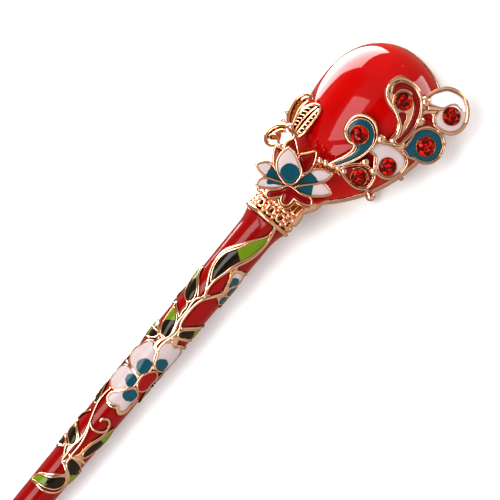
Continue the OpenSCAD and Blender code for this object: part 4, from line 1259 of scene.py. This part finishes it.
def face_drawn(drawn):
    """Drawn points as places on the fan's face."""
    drawn = np.array(drawn, float)
    return np.column_stack([drawn[:, 0] - DROP_ALONG, DROP_ACROSS - drawn[:, 1], drawn[:, 2:]])


def rings(levels):
    """A closed skin through rings of equally many points, with a face over each end."""
    count, last = len(levels[0]), len(levels) - 1
    beside = [(k * count + i, k * count + (i + 1) % count) for k in range(last) for i in range(count)]
    faces = [(a, b, b + count, a + count) for a, b in beside]
    ends = [tuple(range(count - 1, -1, -1)), tuple(last * count + i for i in range(count))]
    return np.concatenate(levels), faces + ends


def face_edge(outline, step=COARSE):
    """A drawn outline, smooth and on the fan's face."""
    return smooth(face_drawn(outline), step, True)


def on_plane(plane):
    """Moves flat points of the fan's face, with heights above a plane, to the row frame."""
    a0, b0, h0, along, across = plane
    return lambda p: on_face(np.column_stack([
        p[:, 0], p[:, 1], p[:, 2] + h0 + along * (p[:, 0] - a0) + across * (p[:, 1] - b0)]))


def raised(move, height):
    """The same move, of points that are lifted first."""
    return lambda p: move(p + (0, 0, height))


def on_cup(middle, height, rise):
    """Moves flat points of the lotus to the row frame. Heights are over a cup that rises from its middle."""
    return lambda p: on_face(np.column_stack([
        p[:, :2], p[:, 2] + height + rise * np.linalg.norm(p[:, :2] - middle, axis=1)]))


def lotus_tone(planes, base):
    """Tone of a lotus petal's points: past the disc at its base, or past any of some lines."""
    if base:
        return past_disc(face_drawn([base[0]])[0], base[1])
    tests = [past_line(face_drawn([at])[0], degrees) for at, degrees in planes]
    return (lambda p: np.max([test(p) for test in tests], axis=0)) if tests else 0


def strokes(rows):
    """Paths on the fan's face for the wire trees, from rows of strokes."""
    for row in rows:
        yield face_drawn(smooth(with_widths(*row), FINE)), False


def rim_path(outline, half_width, outwards=0.6):
    """A closed path just outside an outline, with its half width."""
    edge = grown(outline, half_width * outwards)
    return np.column_stack([edge, np.full(len(edge), half_width)]), True


def bezel_side(x, radius, z):
    """Where something of a radius touches the bezel's outside."""
    beside = float(egg_radius(x, BEZEL_MARGIN + sizes("head")["wall"] + radius))
    return tuple(on_head(np.array([[x, -beside, z]]))[0])


# Operators


class Undoable:
    """What every operator has: its settings in the sidebar, and undo."""

    bl_options = {"REGISTER", "UNDO"}


class KANZASHI_OT_stem(Undoable, bpy.types.Operator):
    """Red enamelled stem, drawn flat and wrapped"""

    bl_idname = "kanzashi.stem"
    bl_label = "Stem"

    def execute(self, context):
        s = sizes("stem")
        segments = 72
        flare = np.linspace(0.02, FLARE_LENGTH, 12)
        cone = np.linspace(FLARE_LENGTH, s["length"] - NOSE_LENGTH, 90)[1:]
        nose = s["length"] - NOSE_LENGTH + NOSE_LENGTH * np.sin(np.linspace(0, np.pi / 2, 12))[1:-1]
        angles = np.linspace(-np.pi, np.pi, segments, endpoint=False)
        levels = []
        for station in (*flare, *cone, *nose):
            past = max(0.0, (station - s["length"] + NOSE_LENGTH) / NOSE_LENGTH)
            radius = float(stem_radius(station))
            depth = radius - s["tip_radius"] * math.sqrt(1 - past**2) if past > 0 else 0.0
            levels.append(np.column_stack([
                np.full(segments, station), angles * radius, np.full(segments, -depth)]))
        levels.insert(0, levels[0] - (0, 0, 1.5))
        parts = Parts()
        parts.add(*rings(levels))
        piece("stem_enamel", wrap_on_stem(parts, "red"), "red", "red_enamel", "stem")
        return {"FINISHED"}


class KANZASHI_OT_leaves(Undoable, bpy.types.Operator):
    """Enamel of the leaves, dark at the base and light at the point"""

    bl_idname = "kanzashi.leaves"
    bl_label = "Leaves"

    def execute(self, context):
        for number, (outline, tone) in enumerate(leaf_outlines(), 1):
            parts = Parts()
            cushion(parts, outline, 0.24, swell, SUNK, tone=tone)
            name = f"leaf_{number}"
            piece(name + "_enamel", wrap_on_stem(parts, "leaf"), "leaf", "leaf_enamel", name)
        return {"FINISHED"}


class KANZASHI_OT_flowers(Undoable, bpy.types.Operator):
    """Enamel of the flowers, white with teal bases and a red middle"""

    bl_idname = "kanzashi.flowers"
    bl_label = "Flowers"

    def execute(self, context):
        gathered = {}
        for name, outline, tone in flower_outlines():
            parts = gathered.setdefault(name, Parts())
            cushion(parts, outline, ENAMEL_STEP, swell, SUNK, tone=tone, centre=0)
        for name, outline in flower_centres():
            cushion(gathered[name], outline, 0.22, lambda p, d: swell(p, d) + CENTRE_LIFT, SUNK,
                    tone=-1, centre=1)
        for name, parts in gathered.items():
            piece(name + "_enamel", wrap_on_stem(parts, "petal"), "petal", "petal_enamel", name)
        return {"FINISHED"}


class KANZASHI_OT_vine(Undoable, bpy.types.Operator):
    """Gold lines of the stem: stalks, and a border around each leaf, petal and flower centre"""

    bl_idname = "kanzashi.vine"
    bl_label = "Vine"

    def execute(self, context):
        s = sizes("stem")
        borders = [outline for outline, _ in leaf_outlines()]
        borders += [outline for _, outline, _ in flower_outlines()]
        borders += [outline for _, outline in flower_centres()]
        paths = [rim_path(outline, s["border"], 0.7) for outline in borders]
        paths += [(on_skin(smooth(with_widths(*row), 0.2)), False) for row in STALKS]
        for width, points in BACK_STALKS:
            rows = [(station, float(at_angle(station, angle if angle > -90 else angle + 360)), width)
                    for station, angle in points]
            paths.append((smooth(rows, 0.25), False))
        # Painted shade: the stem's gold lines get a near-black foot where they meet the enamel
        wires = made_by("stem_wire", lines(paths), sides=12, wire_height=s["wire_height"] * MM,
                        flat_top=LINE_TOP * s["wire_height"] * MM, **tree_sizes())
        webs, parts = Parts(), Parts()
        for outline in WEBS:
            edge = on_skin(smooth(outline, FINE, True))
            cushion(webs, edge, 0.3, lambda p, d: WEB_TOP * s["wire_height"] - 0.04 * np.exp(-d / 0.06), SUNK)
        parts.add_mesh(wires)
        parts.add_mesh(wrap_on_stem(webs, "gold"))
        piece("vine_gold", parts.mesh(), "gold", "gold", "vine")
        return {"FINISHED"}


class KANZASHI_OT_drop(Undoable, bpy.types.Operator):
    """Polished drop: an egg-shaped dome with a flat underside"""

    bl_idname = "kanzashi.drop"
    bl_label = "Drop"

    def execute(self, context):
        outline = egg_outline(DROP_MARGIN)
        top = np.array([DROP_TOP, 0])
        levels = []
        for turn in np.linspace(90, 2, 46):
            flat = top + (outline - top) * math.sin(math.radians(turn))
            height = np.sqrt(np.maximum(0, egg_radius(flat[:, 0], DROP_MARGIN) ** 2 - flat[:, 1] ** 2))
            levels.append(np.column_stack([flat, DROP_Z + (height if turn < 90 else 0 * height)]))
        parts = Parts()
        parts.add(*rings(levels))
        piece("drop_stone", parts.mesh(on_head), "agate", "agate", "drop")
        return {"FINISHED"}


class KANZASHI_OT_bezel(Undoable, bpy.types.Operator):
    """Back plate and thin wall of the bezel"""

    bl_idname = "kanzashi.bezel"
    bl_label = "Bezel"

    def execute(self, context):
        h = sizes("head")
        top = h["plate"] + h["wall_height"]
        inner, outer, lip = 0.09, BEZEL_MARGIN + h["wall"], LIP_MARGIN
        section = [(outer - 0.3, 0), (outer - 0.08, 0), (outer, 0.1), (outer, top - 0.5), (lip, top - 0.1),
                   (lip - 0.04, top), (inner + 0.03, top), (inner, top - 0.05), (inner, h["plate"]),
                   (inner - 0.4, h["plate"])]
        parts = Parts()
        parts.add(*rings([np.column_stack([egg_outline(m), np.full(OUTLINE_POINTS, z)]) for m, z in section]))
        piece("bezel_gold", parts.mesh(on_head), "gold", "gold", "bezel")
        return {"FINISHED"}


class KANZASHI_OT_collar(Undoable, bpy.types.Operator):
    """Cast collar: rings, a band of loops and beads, a rope ring and scrolls"""

    bl_idname = "kanzashi.collar"
    bl_label = "Collar"

    def execute(self, context):
        settings = context.scene.kanzashi_head
        scale = sizes("head")["collar_radius"] / DRAWN_COLLAR
        place = lambda p: p + STEM_AT
        parts = Parts()

        def around(along, angle, radius, half_width):
            """A place of the collar at an angle about its axis, with a half width."""
            return along, scale * radius * math.cos(angle), scale * radius * math.sin(angle), half_width

        points, faces = lathe([(along, radius * scale) for along, radius in COLLAR], 72, place)
        # Painted shade: the collar's gold in its grooves, below that radius, is painted dark
        deep = np.hypot(points[:, 1] - STEM_AT[1], points[:, 2] - STEM_AT[2]) < PAINTED_SHADE_BELOW * scale
        parts.add(points, faces, recess=deep * 0.95)
        rows, loops = [], []
        station, reach, loop_size, half_width = LOOPS
        for k in range(settings.beads):
            a = 2 * math.pi * (k + 0.35) / settings.beads
            b = a + math.pi / settings.beads
            size = loop_size + 0.06 * math.sin(2.4 * k)
            loops.append(([around(station + size * math.cos(t), a + size * math.sin(t) / 4,
                                  reach + 0.1 * math.cos(3 * t + k), half_width)
                           for t in np.linspace(0, 2 * math.pi, 20, endpoint=False)], True))
            rows += [around(along, b, away, radius + varied * math.sin(1.7 * k))
                     for along, away, radius, varied in LOOP_BEADS]
        # Painted reflection: the beads and loops are painted a little warmer, as gold facing gold
        parts.add_mesh(beads(rows, segments=16, rings=10), place, recess=0.2)
        parts.add_mesh(made_by("wire", lines(loops), sides=10), place, recess=0.1)
        turns, station, reach, half_width = ROPE
        rope = [around(station + 0.2 * math.sin(turns * a), a, reach + 0.16 * math.cos(turns * a), half_width)
                for a in np.linspace(0, 2 * math.pi, turns * 10, endpoint=False)]
        parts.add_mesh(made_by("wire", lines([(rope, True)]), sides=8), place)
        scroll = [around(x, math.radians(a), r, w) for x, a, r, w in smooth(SCROLL, 3)]
        one = made_by("wire", lines([(scroll, False)]), sides=8)
        parts.add_mesh(made_by("copies", one, count=settings.scrolls), place)
        path = smooth(face_drawn(SHOULDER), 0.4)
        parts.add_mesh(made_by("wire", lines([(path, False)]), sides=20), on_face)
        # The gold behind the shoulder's scrolls is painted warm, as a painted reflection of gold on gold
        cushion(parts, face_edge(GROUND), 0.4, lambda p, d: 8 + 0.3 * np.minimum(d, 0.5), 6.6, on_face,
                recess=0.3)
        piece("collar_gold", parts.mesh(), "gold", "gold", "collar")
        return {"FINISHED"}


class KANZASHI_OT_fan(Undoable, bpy.types.Operator):
    """Gold of the fan: trays, rims, settings, beads between the feathers, and feet"""

    bl_idname = "kanzashi.fan"
    bl_label = "Fan"

    def execute(self, context):
        f = sizes("fan")
        parts = Parts()
        for number, (_, plane, stone, radius, outlines, rows) in enumerate(FEATHERS):
            move = on_plane(plane)
            for owner, outline in PLATES:
                if owner == number:
                    cushion(parts, face_edge(outline), PLATE_STEP, f["tray"] + 0.03, 0, move)
            for outline in outlines:
                cushion(parts, grown(face_edge(outline), f["rim"]), PLATE_STEP, f["tray"] - 0.1, 0, move)
            disc = face_drawn([stone])[0] + (radius + 0.1) * np.array([
                (math.cos(a), math.sin(a)) for a in np.linspace(0, 2 * np.pi, 32, endpoint=False)])
            cushion(parts, disc, PLATE_STEP, f["tray"] + 0.05, 0.02, move)
            rims = [rim_path(face_edge(outline, 0.25), 0.12) for outline in outlines]
            for paths, height in ((strokes(rows), STROKE_HEIGHT), (rims, RIM_HEIGHT)):
                # Painted shade: the strokes and rims get a dark foot where they meet the enamel
                wire = made_by("flat_wire", lines(paths), sides=12, wire_height=height * MM,
                               flat_top=height * MM, foot=1.5)
                parts.add_mesh(wire, raised(move, f["tray"] - 0.04))
            # Painted shade: each collet is painted dark gold
            collet = made_by("flat_wire", lines([rim_path(disc, 0.09, -0.6)]), sides=10,
                             wire_height=COLLET_HEIGHT * MM)
            parts.add_mesh(collet, raised(move, f["tray"] + 0.1), recess=0.7)
        parts.add_mesh(beads(BEADS, segments=20, rings=12), on_face)
        rods = []
        for x, end in FEET:
            start, stop = bezel_side(x, FOOT_WIDTHS[0], 1.0), on_face([end])[0]
            rods.append(([(*start, FOOT_WIDTHS[0]), (*stop, FOOT_WIDTHS[1])], False))
        parts.add_mesh(made_by("wire", lines(rods), sides=14))
        parts.add(*ball(bezel_side(*FOOT_BALL[:3]), FOOT_BALL[3]))
        piece("fan_gold", parts.mesh(), "gold", "gold", "fan_frame")
        return {"FINISHED"}


class KANZASHI_OT_feathers(Undoable, bpy.types.Operator):
    """Enamel of the feathers"""

    bl_idname = "kanzashi.feathers"
    bl_label = "Feathers"

    def execute(self, context):
        f = sizes("fan")
        slots = {"teal": "teal_enamel", "white": "white_enamel", "wine": "dark_red_enamel"}
        # Past this line the third feather's curl is painted near pure white, as a painted highlight
        bright = past_line(face_drawn([PAINTED_HIGHLIGHT_EDGE[0]])[0], PAINTED_HIGHLIGHT_EDGE[1])
        for number, (kind, plane, _, _, outlines, _) in enumerate(FEATHERS, 1):
            parts = Parts()
            for outline in outlines:
                cushion(parts, face_edge(outline, FINE), ENAMEL_STEP, pool(f["tray"], 0.2, 0.5),
                        f["tray"] - 0.15, tone=bright if number == 3 else -1)
            name = f"feather_{number}"
            piece(name + "_enamel", parts.mesh(on_plane(plane)), kind, slots[kind], name)
        return {"FINISHED"}


class KANZASHI_OT_rhinestones(Undoable, bpy.types.Operator):
    """Cut red stones: table, star, kite and girdle facets over a pointed back"""

    bl_idname = "kanzashi.rhinestones"
    bl_label = "Rhinestones"

    def execute(self, context):
        f = sizes("fan")
        size = f["stone_radius"] / DRAWN_STONE
        for number, (_, plane, stone, radius, _, _) in enumerate(FEATHERS, 1):
            self.stone(f"rhinestone_{number}", stone, radius * size, f["tray"] + 0.22, plane, number)
        self.stone("butterfly_stone", *BUTTERFLY_STONE, BUTTERFLY_PLANE, 9)
        return {"FINISHED"}

    def stone(self, name, drawn, radius, height, plane, seed):
        """Makes one stone, with a painted reflection, light or dark, on each facet."""
        x, y = face_drawn([drawn])[0]

        def ring(r, z, count, shift):
            turns = [2 * math.pi * (k + shift) / count + seed for k in range(count)]
            level = height + radius * z
            return [(x + radius * r * math.cos(a), y + radius * r * math.sin(a), level) for a in turns]

        points = [(x, y, height + radius * 0.4), *ring(0.3, 0.395, 8, 0.5), *ring(0.58, 0.36, 8, 0),
                  *ring(0.8, 0.2, 8, 0.5), *ring(1, 0, 16, 0), (x, y, height - radius * 0.3)]
        inner, table, star, girdle, culet = 1, 9, 17, 25, 41
        faces = []
        for k in range(8):
            n = (k + 1) % 8
            left, between, right = girdle + 2 * k, girdle + 2 * k + 1, girdle + 2 * n
            faces += [(0, inner + k, inner + n), (inner + k, table + n, inner + n),
                      (inner + k, table + k, table + n), (table + k, star + k, table + n),
                      (star + k, right, star + n, table + n), (star + k, left, between),
                      (star + k, between, right), (left, culet, between), (between, culet, right)]
        made = bpy.data.meshes.new(name)
        made.from_pydata(on_plane(plane)(np.array(points)) * MM, [], faces)
        # Painted reflection: a random lightness for each facet, mostly dark with a few bright glints
        light = np.random.default_rng(seed).random(len(faces)) ** 4
        made.attributes.new("facet", "FLOAT", "FACE").data.foreach_set("value", light.astype(np.float32))
        piece(name + "_glass", made, "ruby", "ruby_glass", name)


class KANZASHI_OT_lotus(Undoable, bpy.types.Operator):
    """Lotus: cupped gold petals and the enamel in them"""

    bl_idname = "kanzashi.lotus"
    bl_label = "Lotus"

    def execute(self, context):
        f = sizes("fan")
        gold, fills = Parts(), Parts()
        middle = face_drawn([LOTUS_CENTRE])[0]
        for kind, level, rise, planes, base, outline in LOTUS:
            move = on_cup(middle, LOTUS_HEIGHT + LOTUS_STEP * level, rise)
            edge = face_edge(outline, FINE)
            cushion(gold, grown(edge, 0.14), 0.7, f["petal"] - 0.08, 0, move)
            rim = lines([rim_path(edge, f["rim"], 0.7)])
            # Painted shade: the rim gets a dark foot where it meets the petal
            wire = made_by("flat_wire", rim, sides=10, wire_height=0.27 * MM)
            gold.add_mesh(wire, raised(move, f["petal"]))
            cushion(fills, edge, ENAMEL_STEP, pool(f["petal"], 0.24, 0.45), f["petal"] - 0.2, move,
                    tone=lotus_tone(planes, base), centre=1 if kind == "wine" else 0)
        for height, *stroke in LOTUS_SCROLLS:
            # Painted shade: the scrolls get a dark foot as well
            wire = made_by("flat_wire", lines(strokes([stroke])), sides=12, wire_height=0.4 * MM)
            gold.add_mesh(wire, on_plane((0, 0, height, 0, 0)))
        gold.add(*lathe(LOTUS_POST, 32, lambda p: on_face(
            np.column_stack([p[:, 1] + middle[0], p[:, 2] + middle[1], p[:, 0]]))))
        piece("lotus_gold", gold.mesh(), "gold", "gold", "lotus_frame")
        piece("lotus_enamel_fill", fills.mesh(), "lotus", "petal_enamel", "lotus_enamel")
        return {"FINISHED"}


class KANZASHI_OT_butterfly(Undoable, bpy.types.Operator):
    """Openwork butterfly: loops, thin wings with ridges, ladders of ribs, body and feelers"""

    bl_idname = "kanzashi.butterfly"
    bl_label = "Butterfly"

    def execute(self, context):
        f = sizes("fan")
        move = on_plane(BUTTERFLY_PLANE)
        parts = Parts()
        paths = list(strokes(BUTTERFLY))
        for first, last, top, low, count, slant in RIBS:
            for k in range(count):
                u = first + (last - first) * k / (count - 1)
                drawn = [(u - slant, top, f["rib"]), (u + slant, low, f["rib"])]
                paths.append((face_drawn(drawn), False))
        # Painted shade: the strokes and ribs get a dark foot
        wire = made_by("flat_wire", lines(paths), sides=10, wire_height=0.3 * MM)
        parts.add_mesh(wire, raised(move, 0.4))
        ridges = lambda p, d: 0.2 + 0.1 * np.minimum(d, 0.6) + 0.07 * np.sin(p[:, 0] * 7 + p[:, 1] * 4)
        # Each wing's gold is painted warmer and darker by its value, as painted reflection and painted shade
        for recess, outline in MEMBRANES:
            cushion(parts, face_edge(outline), 0.16, ridges, 0, move, recess=recess)
        parts.add_mesh(beads(face_drawn(BUTTERFLY_BEADS), segments=16, rings=10), move)
        parts.add_mesh(made_by("wire", lines([(face_drawn(BUTTERFLY_ROD), False)]), sides=12), move)
        piece("butterfly_gold", parts.mesh(), "gold", "gold", "butterfly")
        return {"FINISHED"}


PIECES = [KANZASHI_OT_stem, KANZASHI_OT_leaves, KANZASHI_OT_flowers, KANZASHI_OT_vine, KANZASHI_OT_drop,
          KANZASHI_OT_bezel, KANZASHI_OT_collar, KANZASHI_OT_fan, KANZASHI_OT_feathers,
          KANZASHI_OT_rhinestones, KANZASHI_OT_lotus, KANZASHI_OT_butterfly]


# Soft lights. Columns: name, power on matt surfaces, power in reflections, distance from the head, directions
# of its four corners on the fan's face. The first two are below the level of the floor, which hides them from
# everything but reflections
LIGHTS = [
    ("window", 2.2, 1.6, 0.2, [(-0.17, 0.88, -0.44), (0.48, 0.87, 0.06), (0.77, 0.39, -0.5),
     (0.04, 0.42, -0.9)]),
    ("edge", 0.3, 0.25, 0.25, [(0.968, -0.2, 0.151), (0.914, -0.181, -0.362), (0.766, -0.41, -0.494),
     (0.883, -0.467, 0.049)]),
    ("key", 0.8, 1.08, 0.36, [(-0.71, 0.43, 0.56), (-0.05, 0.82, 0.56), (0.094, 0.34, 0.936),
     (-0.5, 0.3, 0.81)]),
    ("side", 0.35, 0, 0.36, [(0.9, -0.25, 0.35), (0.9, 0.4, 0.3), (0.7, 0.35, 0.65), (0.7, -0.2, 0.7)]),
    ("fill", 0.25, 0.34, 0.36, [(-0.84, 0.22, 0.5), (-0.7, 0.33, 0.63), (-0.5, -0.1, 0.85),
     (-0.64, -0.19, 0.75)]),
]
# What polished metal sees of the room, in bands along the stem. Columns: angle from the face towards the
# butterfly's side, in degrees, colour
ROOM = [(-180, (0.3, 0.2, 0.14)), (-130, (0.48, 0.39, 0.32)), (-90, (0.62, 0.53, 0.46)), (-50,
        (0.7, 0.62, 0.54)), (-22, (0.7, 0.62, 0.54)), (-11, (0.14, 0.06, 0.025)), (12, (0.09, 0.035, 0.012)),
        (16, (0.8, 0.74, 0.67)), (50, (0.78, 0.72, 0.64)), (60, (0.3, 0.18, 0.11)), (90, (0.3, 0.18, 0.11)),
        (104, (0.75, 0.7, 0.64)), (130, (0.48, 0.39, 0.31)), (180, (0.3, 0.2, 0.14))]
# What it sees towards the ends of the stem, from below and from above
ENDS = ((0.4, 0.3, 0.22), (0.64, 0.58, 0.52))


# The floor's half width and level, in metres
FLOOR_REACH, FLOOR_LEVEL = 3, -0.0002
# What the camera has on its right and above it, as directions on the fan's face, and the place that it looks
# at, in millimetres
VIEW_RIGHT, VIEW_UP = (0.6455, -0.7637, 0), (0.7637, 0.6455, 0)
VIEW_TARGET = (-30.4, 1.73, 8)
# Width of the camera's sensor, in millimetres
SENSOR = 36
# What the lights are aimed at, in millimetres, and how much nearer a light that only reflections see stands
# than its twin, in metres
LIT_PLACE = (0, 0, 6)
TWIN_GAP = 0.002


class KANZASHI_OT_stage(Undoable, bpy.types.Operator):
    """Pale floor, soft lights and the camera"""

    bl_idname = "kanzashi.stage"
    bl_label = "Stage"

    def execute(self, context):
        scene = context.scene
        studio = scene.kanzashi_studio
        made, _, _ = shader("floor", Base_Color=(*studio.floor, 1), Roughness=0.7)
        mesh = bpy.data.meshes.new("floor")
        square = (-1, -1), (1, -1), (1, 1), (-1, 1)
        corners = [(x * FLOOR_REACH, y * FLOOR_REACH, FLOOR_LEVEL) for x, y in square]
        mesh.from_pydata(corners, [], [(0, 1, 2, 3)])
        mesh.materials.append(made)
        floor = put("floor", mesh)
        floor.visible_glossy = False
        floor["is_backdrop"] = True
        scene.view_settings.view_transform = "Standard"
        self.light_world(scene, studio)
        self.place_camera(scene, studio)
        for row in LIGHTS:
            self.place_light(studio, *row)
        return {"FINISHED"}

    def light_world(self, scene, studio):
        """Makes a pale surround. Reflections see the room's bands instead."""
        world = bpy.data.worlds.new("studio")
        scene.world = world
        world.use_nodes = True
        tree = world.node_tree
        way = add(tree, "ShaderNodeTexCoord").outputs["Generated"]
        along, across, above = (add(
            tree, "ShaderNodeVectorMath", {0: way, 1: tuple(on_face([axis])[0])}, operation="DOT_PRODUCT",
        ).outputs["Value"] for axis in ((1, 0, 0), (0, 1, 0), (0, 0, 1)))
        turn = calc(tree, "ADD", calc(tree, "DIVIDE", calc(tree, "ARCTAN2", across, above), 2 * math.pi), 0.5)
        room = add(tree, "ShaderNodeValToRGB", {0: turn})
        stops = room.color_ramp.elements
        for number, (angle, band) in enumerate(ROOM):
            stop = stops[number] if number < 2 else stops.new(1)
            stop.position, stop.color = angle / 360 + 0.5, (*band, 1)
        ends = mixed(tree, ramp(tree, above, -0.4, 0.4, 0, 1), *((*end, 1) for end in ENDS))
        past = ramp(tree, calc(tree, "ABSOLUTE", along), 0.3, 0.6, 0, 1)
        reflected = mixed(tree, past, room.outputs[0], ends)
        is_glossy = add(tree, "ShaderNodeLightPath").outputs["Is Glossy Ray"]
        around = mixed(tree, is_glossy, (studio.surround,) * 3 + (1,), reflected)
        tree.links.new(around, tree.nodes["Background"].inputs["Color"])

    def place_camera(self, scene, studio):
        """Looks square at the fan's face, with the stem running down to the left."""
        data = bpy.data.cameras.new("camera")
        scene.camera = camera = put("camera", data)
        right, up, back = (Vector(on_face([p])[0]) for p in (VIEW_RIGHT, VIEW_UP, (0, 0, 1)))
        target = Vector(on_face([VIEW_TARGET])[0]) * MM
        camera.matrix_world = Matrix.Translation(target + back * studio.camera_distance) @ Matrix(
            (right, up, back)).transposed().to_4x4()
        data.sensor_width = SENSOR
        data.lens = SENSOR * studio.camera_distance / studio.view_width
        data.clip_start, data.clip_end = 0.01, 10

    def place_light(self, studio, name, matt, glossy, distance, corners):
        """Adds a rectangular light whose corners are seen from the head in the given directions. A second one
        beside it is seen by reflections only."""
        corners = [Vector(c).normalized() for c in corners]
        out = sum(corners, Vector()).normalized()
        corners = [c / c.dot(out) for c in corners]
        middle = sum(corners, Vector()) / 4
        wide = corners[1] - corners[0] + corners[2] - corners[3]
        tall = corners[0] - corners[3] + corners[1] - corners[2]
        width, height = wide.length / 2 * distance, tall.length / 2 * distance
        right, out = (Vector(on_face([v])[0]) for v in (wide.normalized(), out))
        at = Vector(on_face([LIT_PLACE])[0]) * MM + Vector(on_face([middle])[0]) * distance
        turn = Matrix((right, out.cross(right), out)).transposed().to_4x4()
        for suffix, power, nearer in (("_matt", matt, 0), ("_glossy", glossy, TWIN_GAP)):
            if not power:
                continue
            data = bpy.data.lights.new(name + suffix, "AREA")
            data.shape, data.size, data.size_y, data.energy = "RECTANGLE", width, height, power * studio.power
            made = put(name + suffix, data)
            made.matrix_world = Matrix.Translation(at - out * nearer) @ turn
            made.visible_camera = False
            made.visible_diffuse = suffix == "_matt"
            made.visible_glossy = suffix == "_glossy"


class KANZASHI_PT_panel(bpy.types.Panel):
    """The pieces and their sizes."""

    bl_idname = "KANZASHI_PT_panel"
    bl_label = "Kanzashi"
    bl_space_type = "VIEW_3D"
    bl_region_type = "UI"
    bl_category = "Kanzashi"

    def draw(self, context):
        for operator in (*PIECES, KANZASHI_OT_stage):
            self.layout.operator(operator.bl_idname)
        for group, kind in GROUPS.items():
            box = self.layout.box()
            box.label(text=kind.__name__)
            for name in kind.__annotations__:
                box.prop(getattr(context.scene, group), name)


CLASSES = (*GROUPS.values(), *PIECES, KANZASHI_OT_stage, KANZASHI_PT_panel)


def register():
    """Registers the classes and puts the sizes on the scene."""
    for item in CLASSES:
        bpy.utils.register_class(item)
    for group, kind in GROUPS.items():
        setattr(bpy.types.Scene, group, PointerProperty(type=kind))


def unregister():
    """Takes all of it away again."""
    for group in GROUPS:
        delattr(bpy.types.Scene, group)
    for item in reversed(CLASSES):
        bpy.utils.unregister_class(item)


def main():
    """Builds the pieces and the stage."""
    register()
    for operator in (*PIECES, KANZASHI_OT_stage):
        name = operator.bl_idname.split(".")[1]
        getattr(bpy.ops.kanzashi, name)()
    ({"cad": [[float(v) for v in corner] for corner in CAD_BOX],
               "visual": [[float(v) for v in corner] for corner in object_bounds()]})


if __name__ == "__main__":
    main()
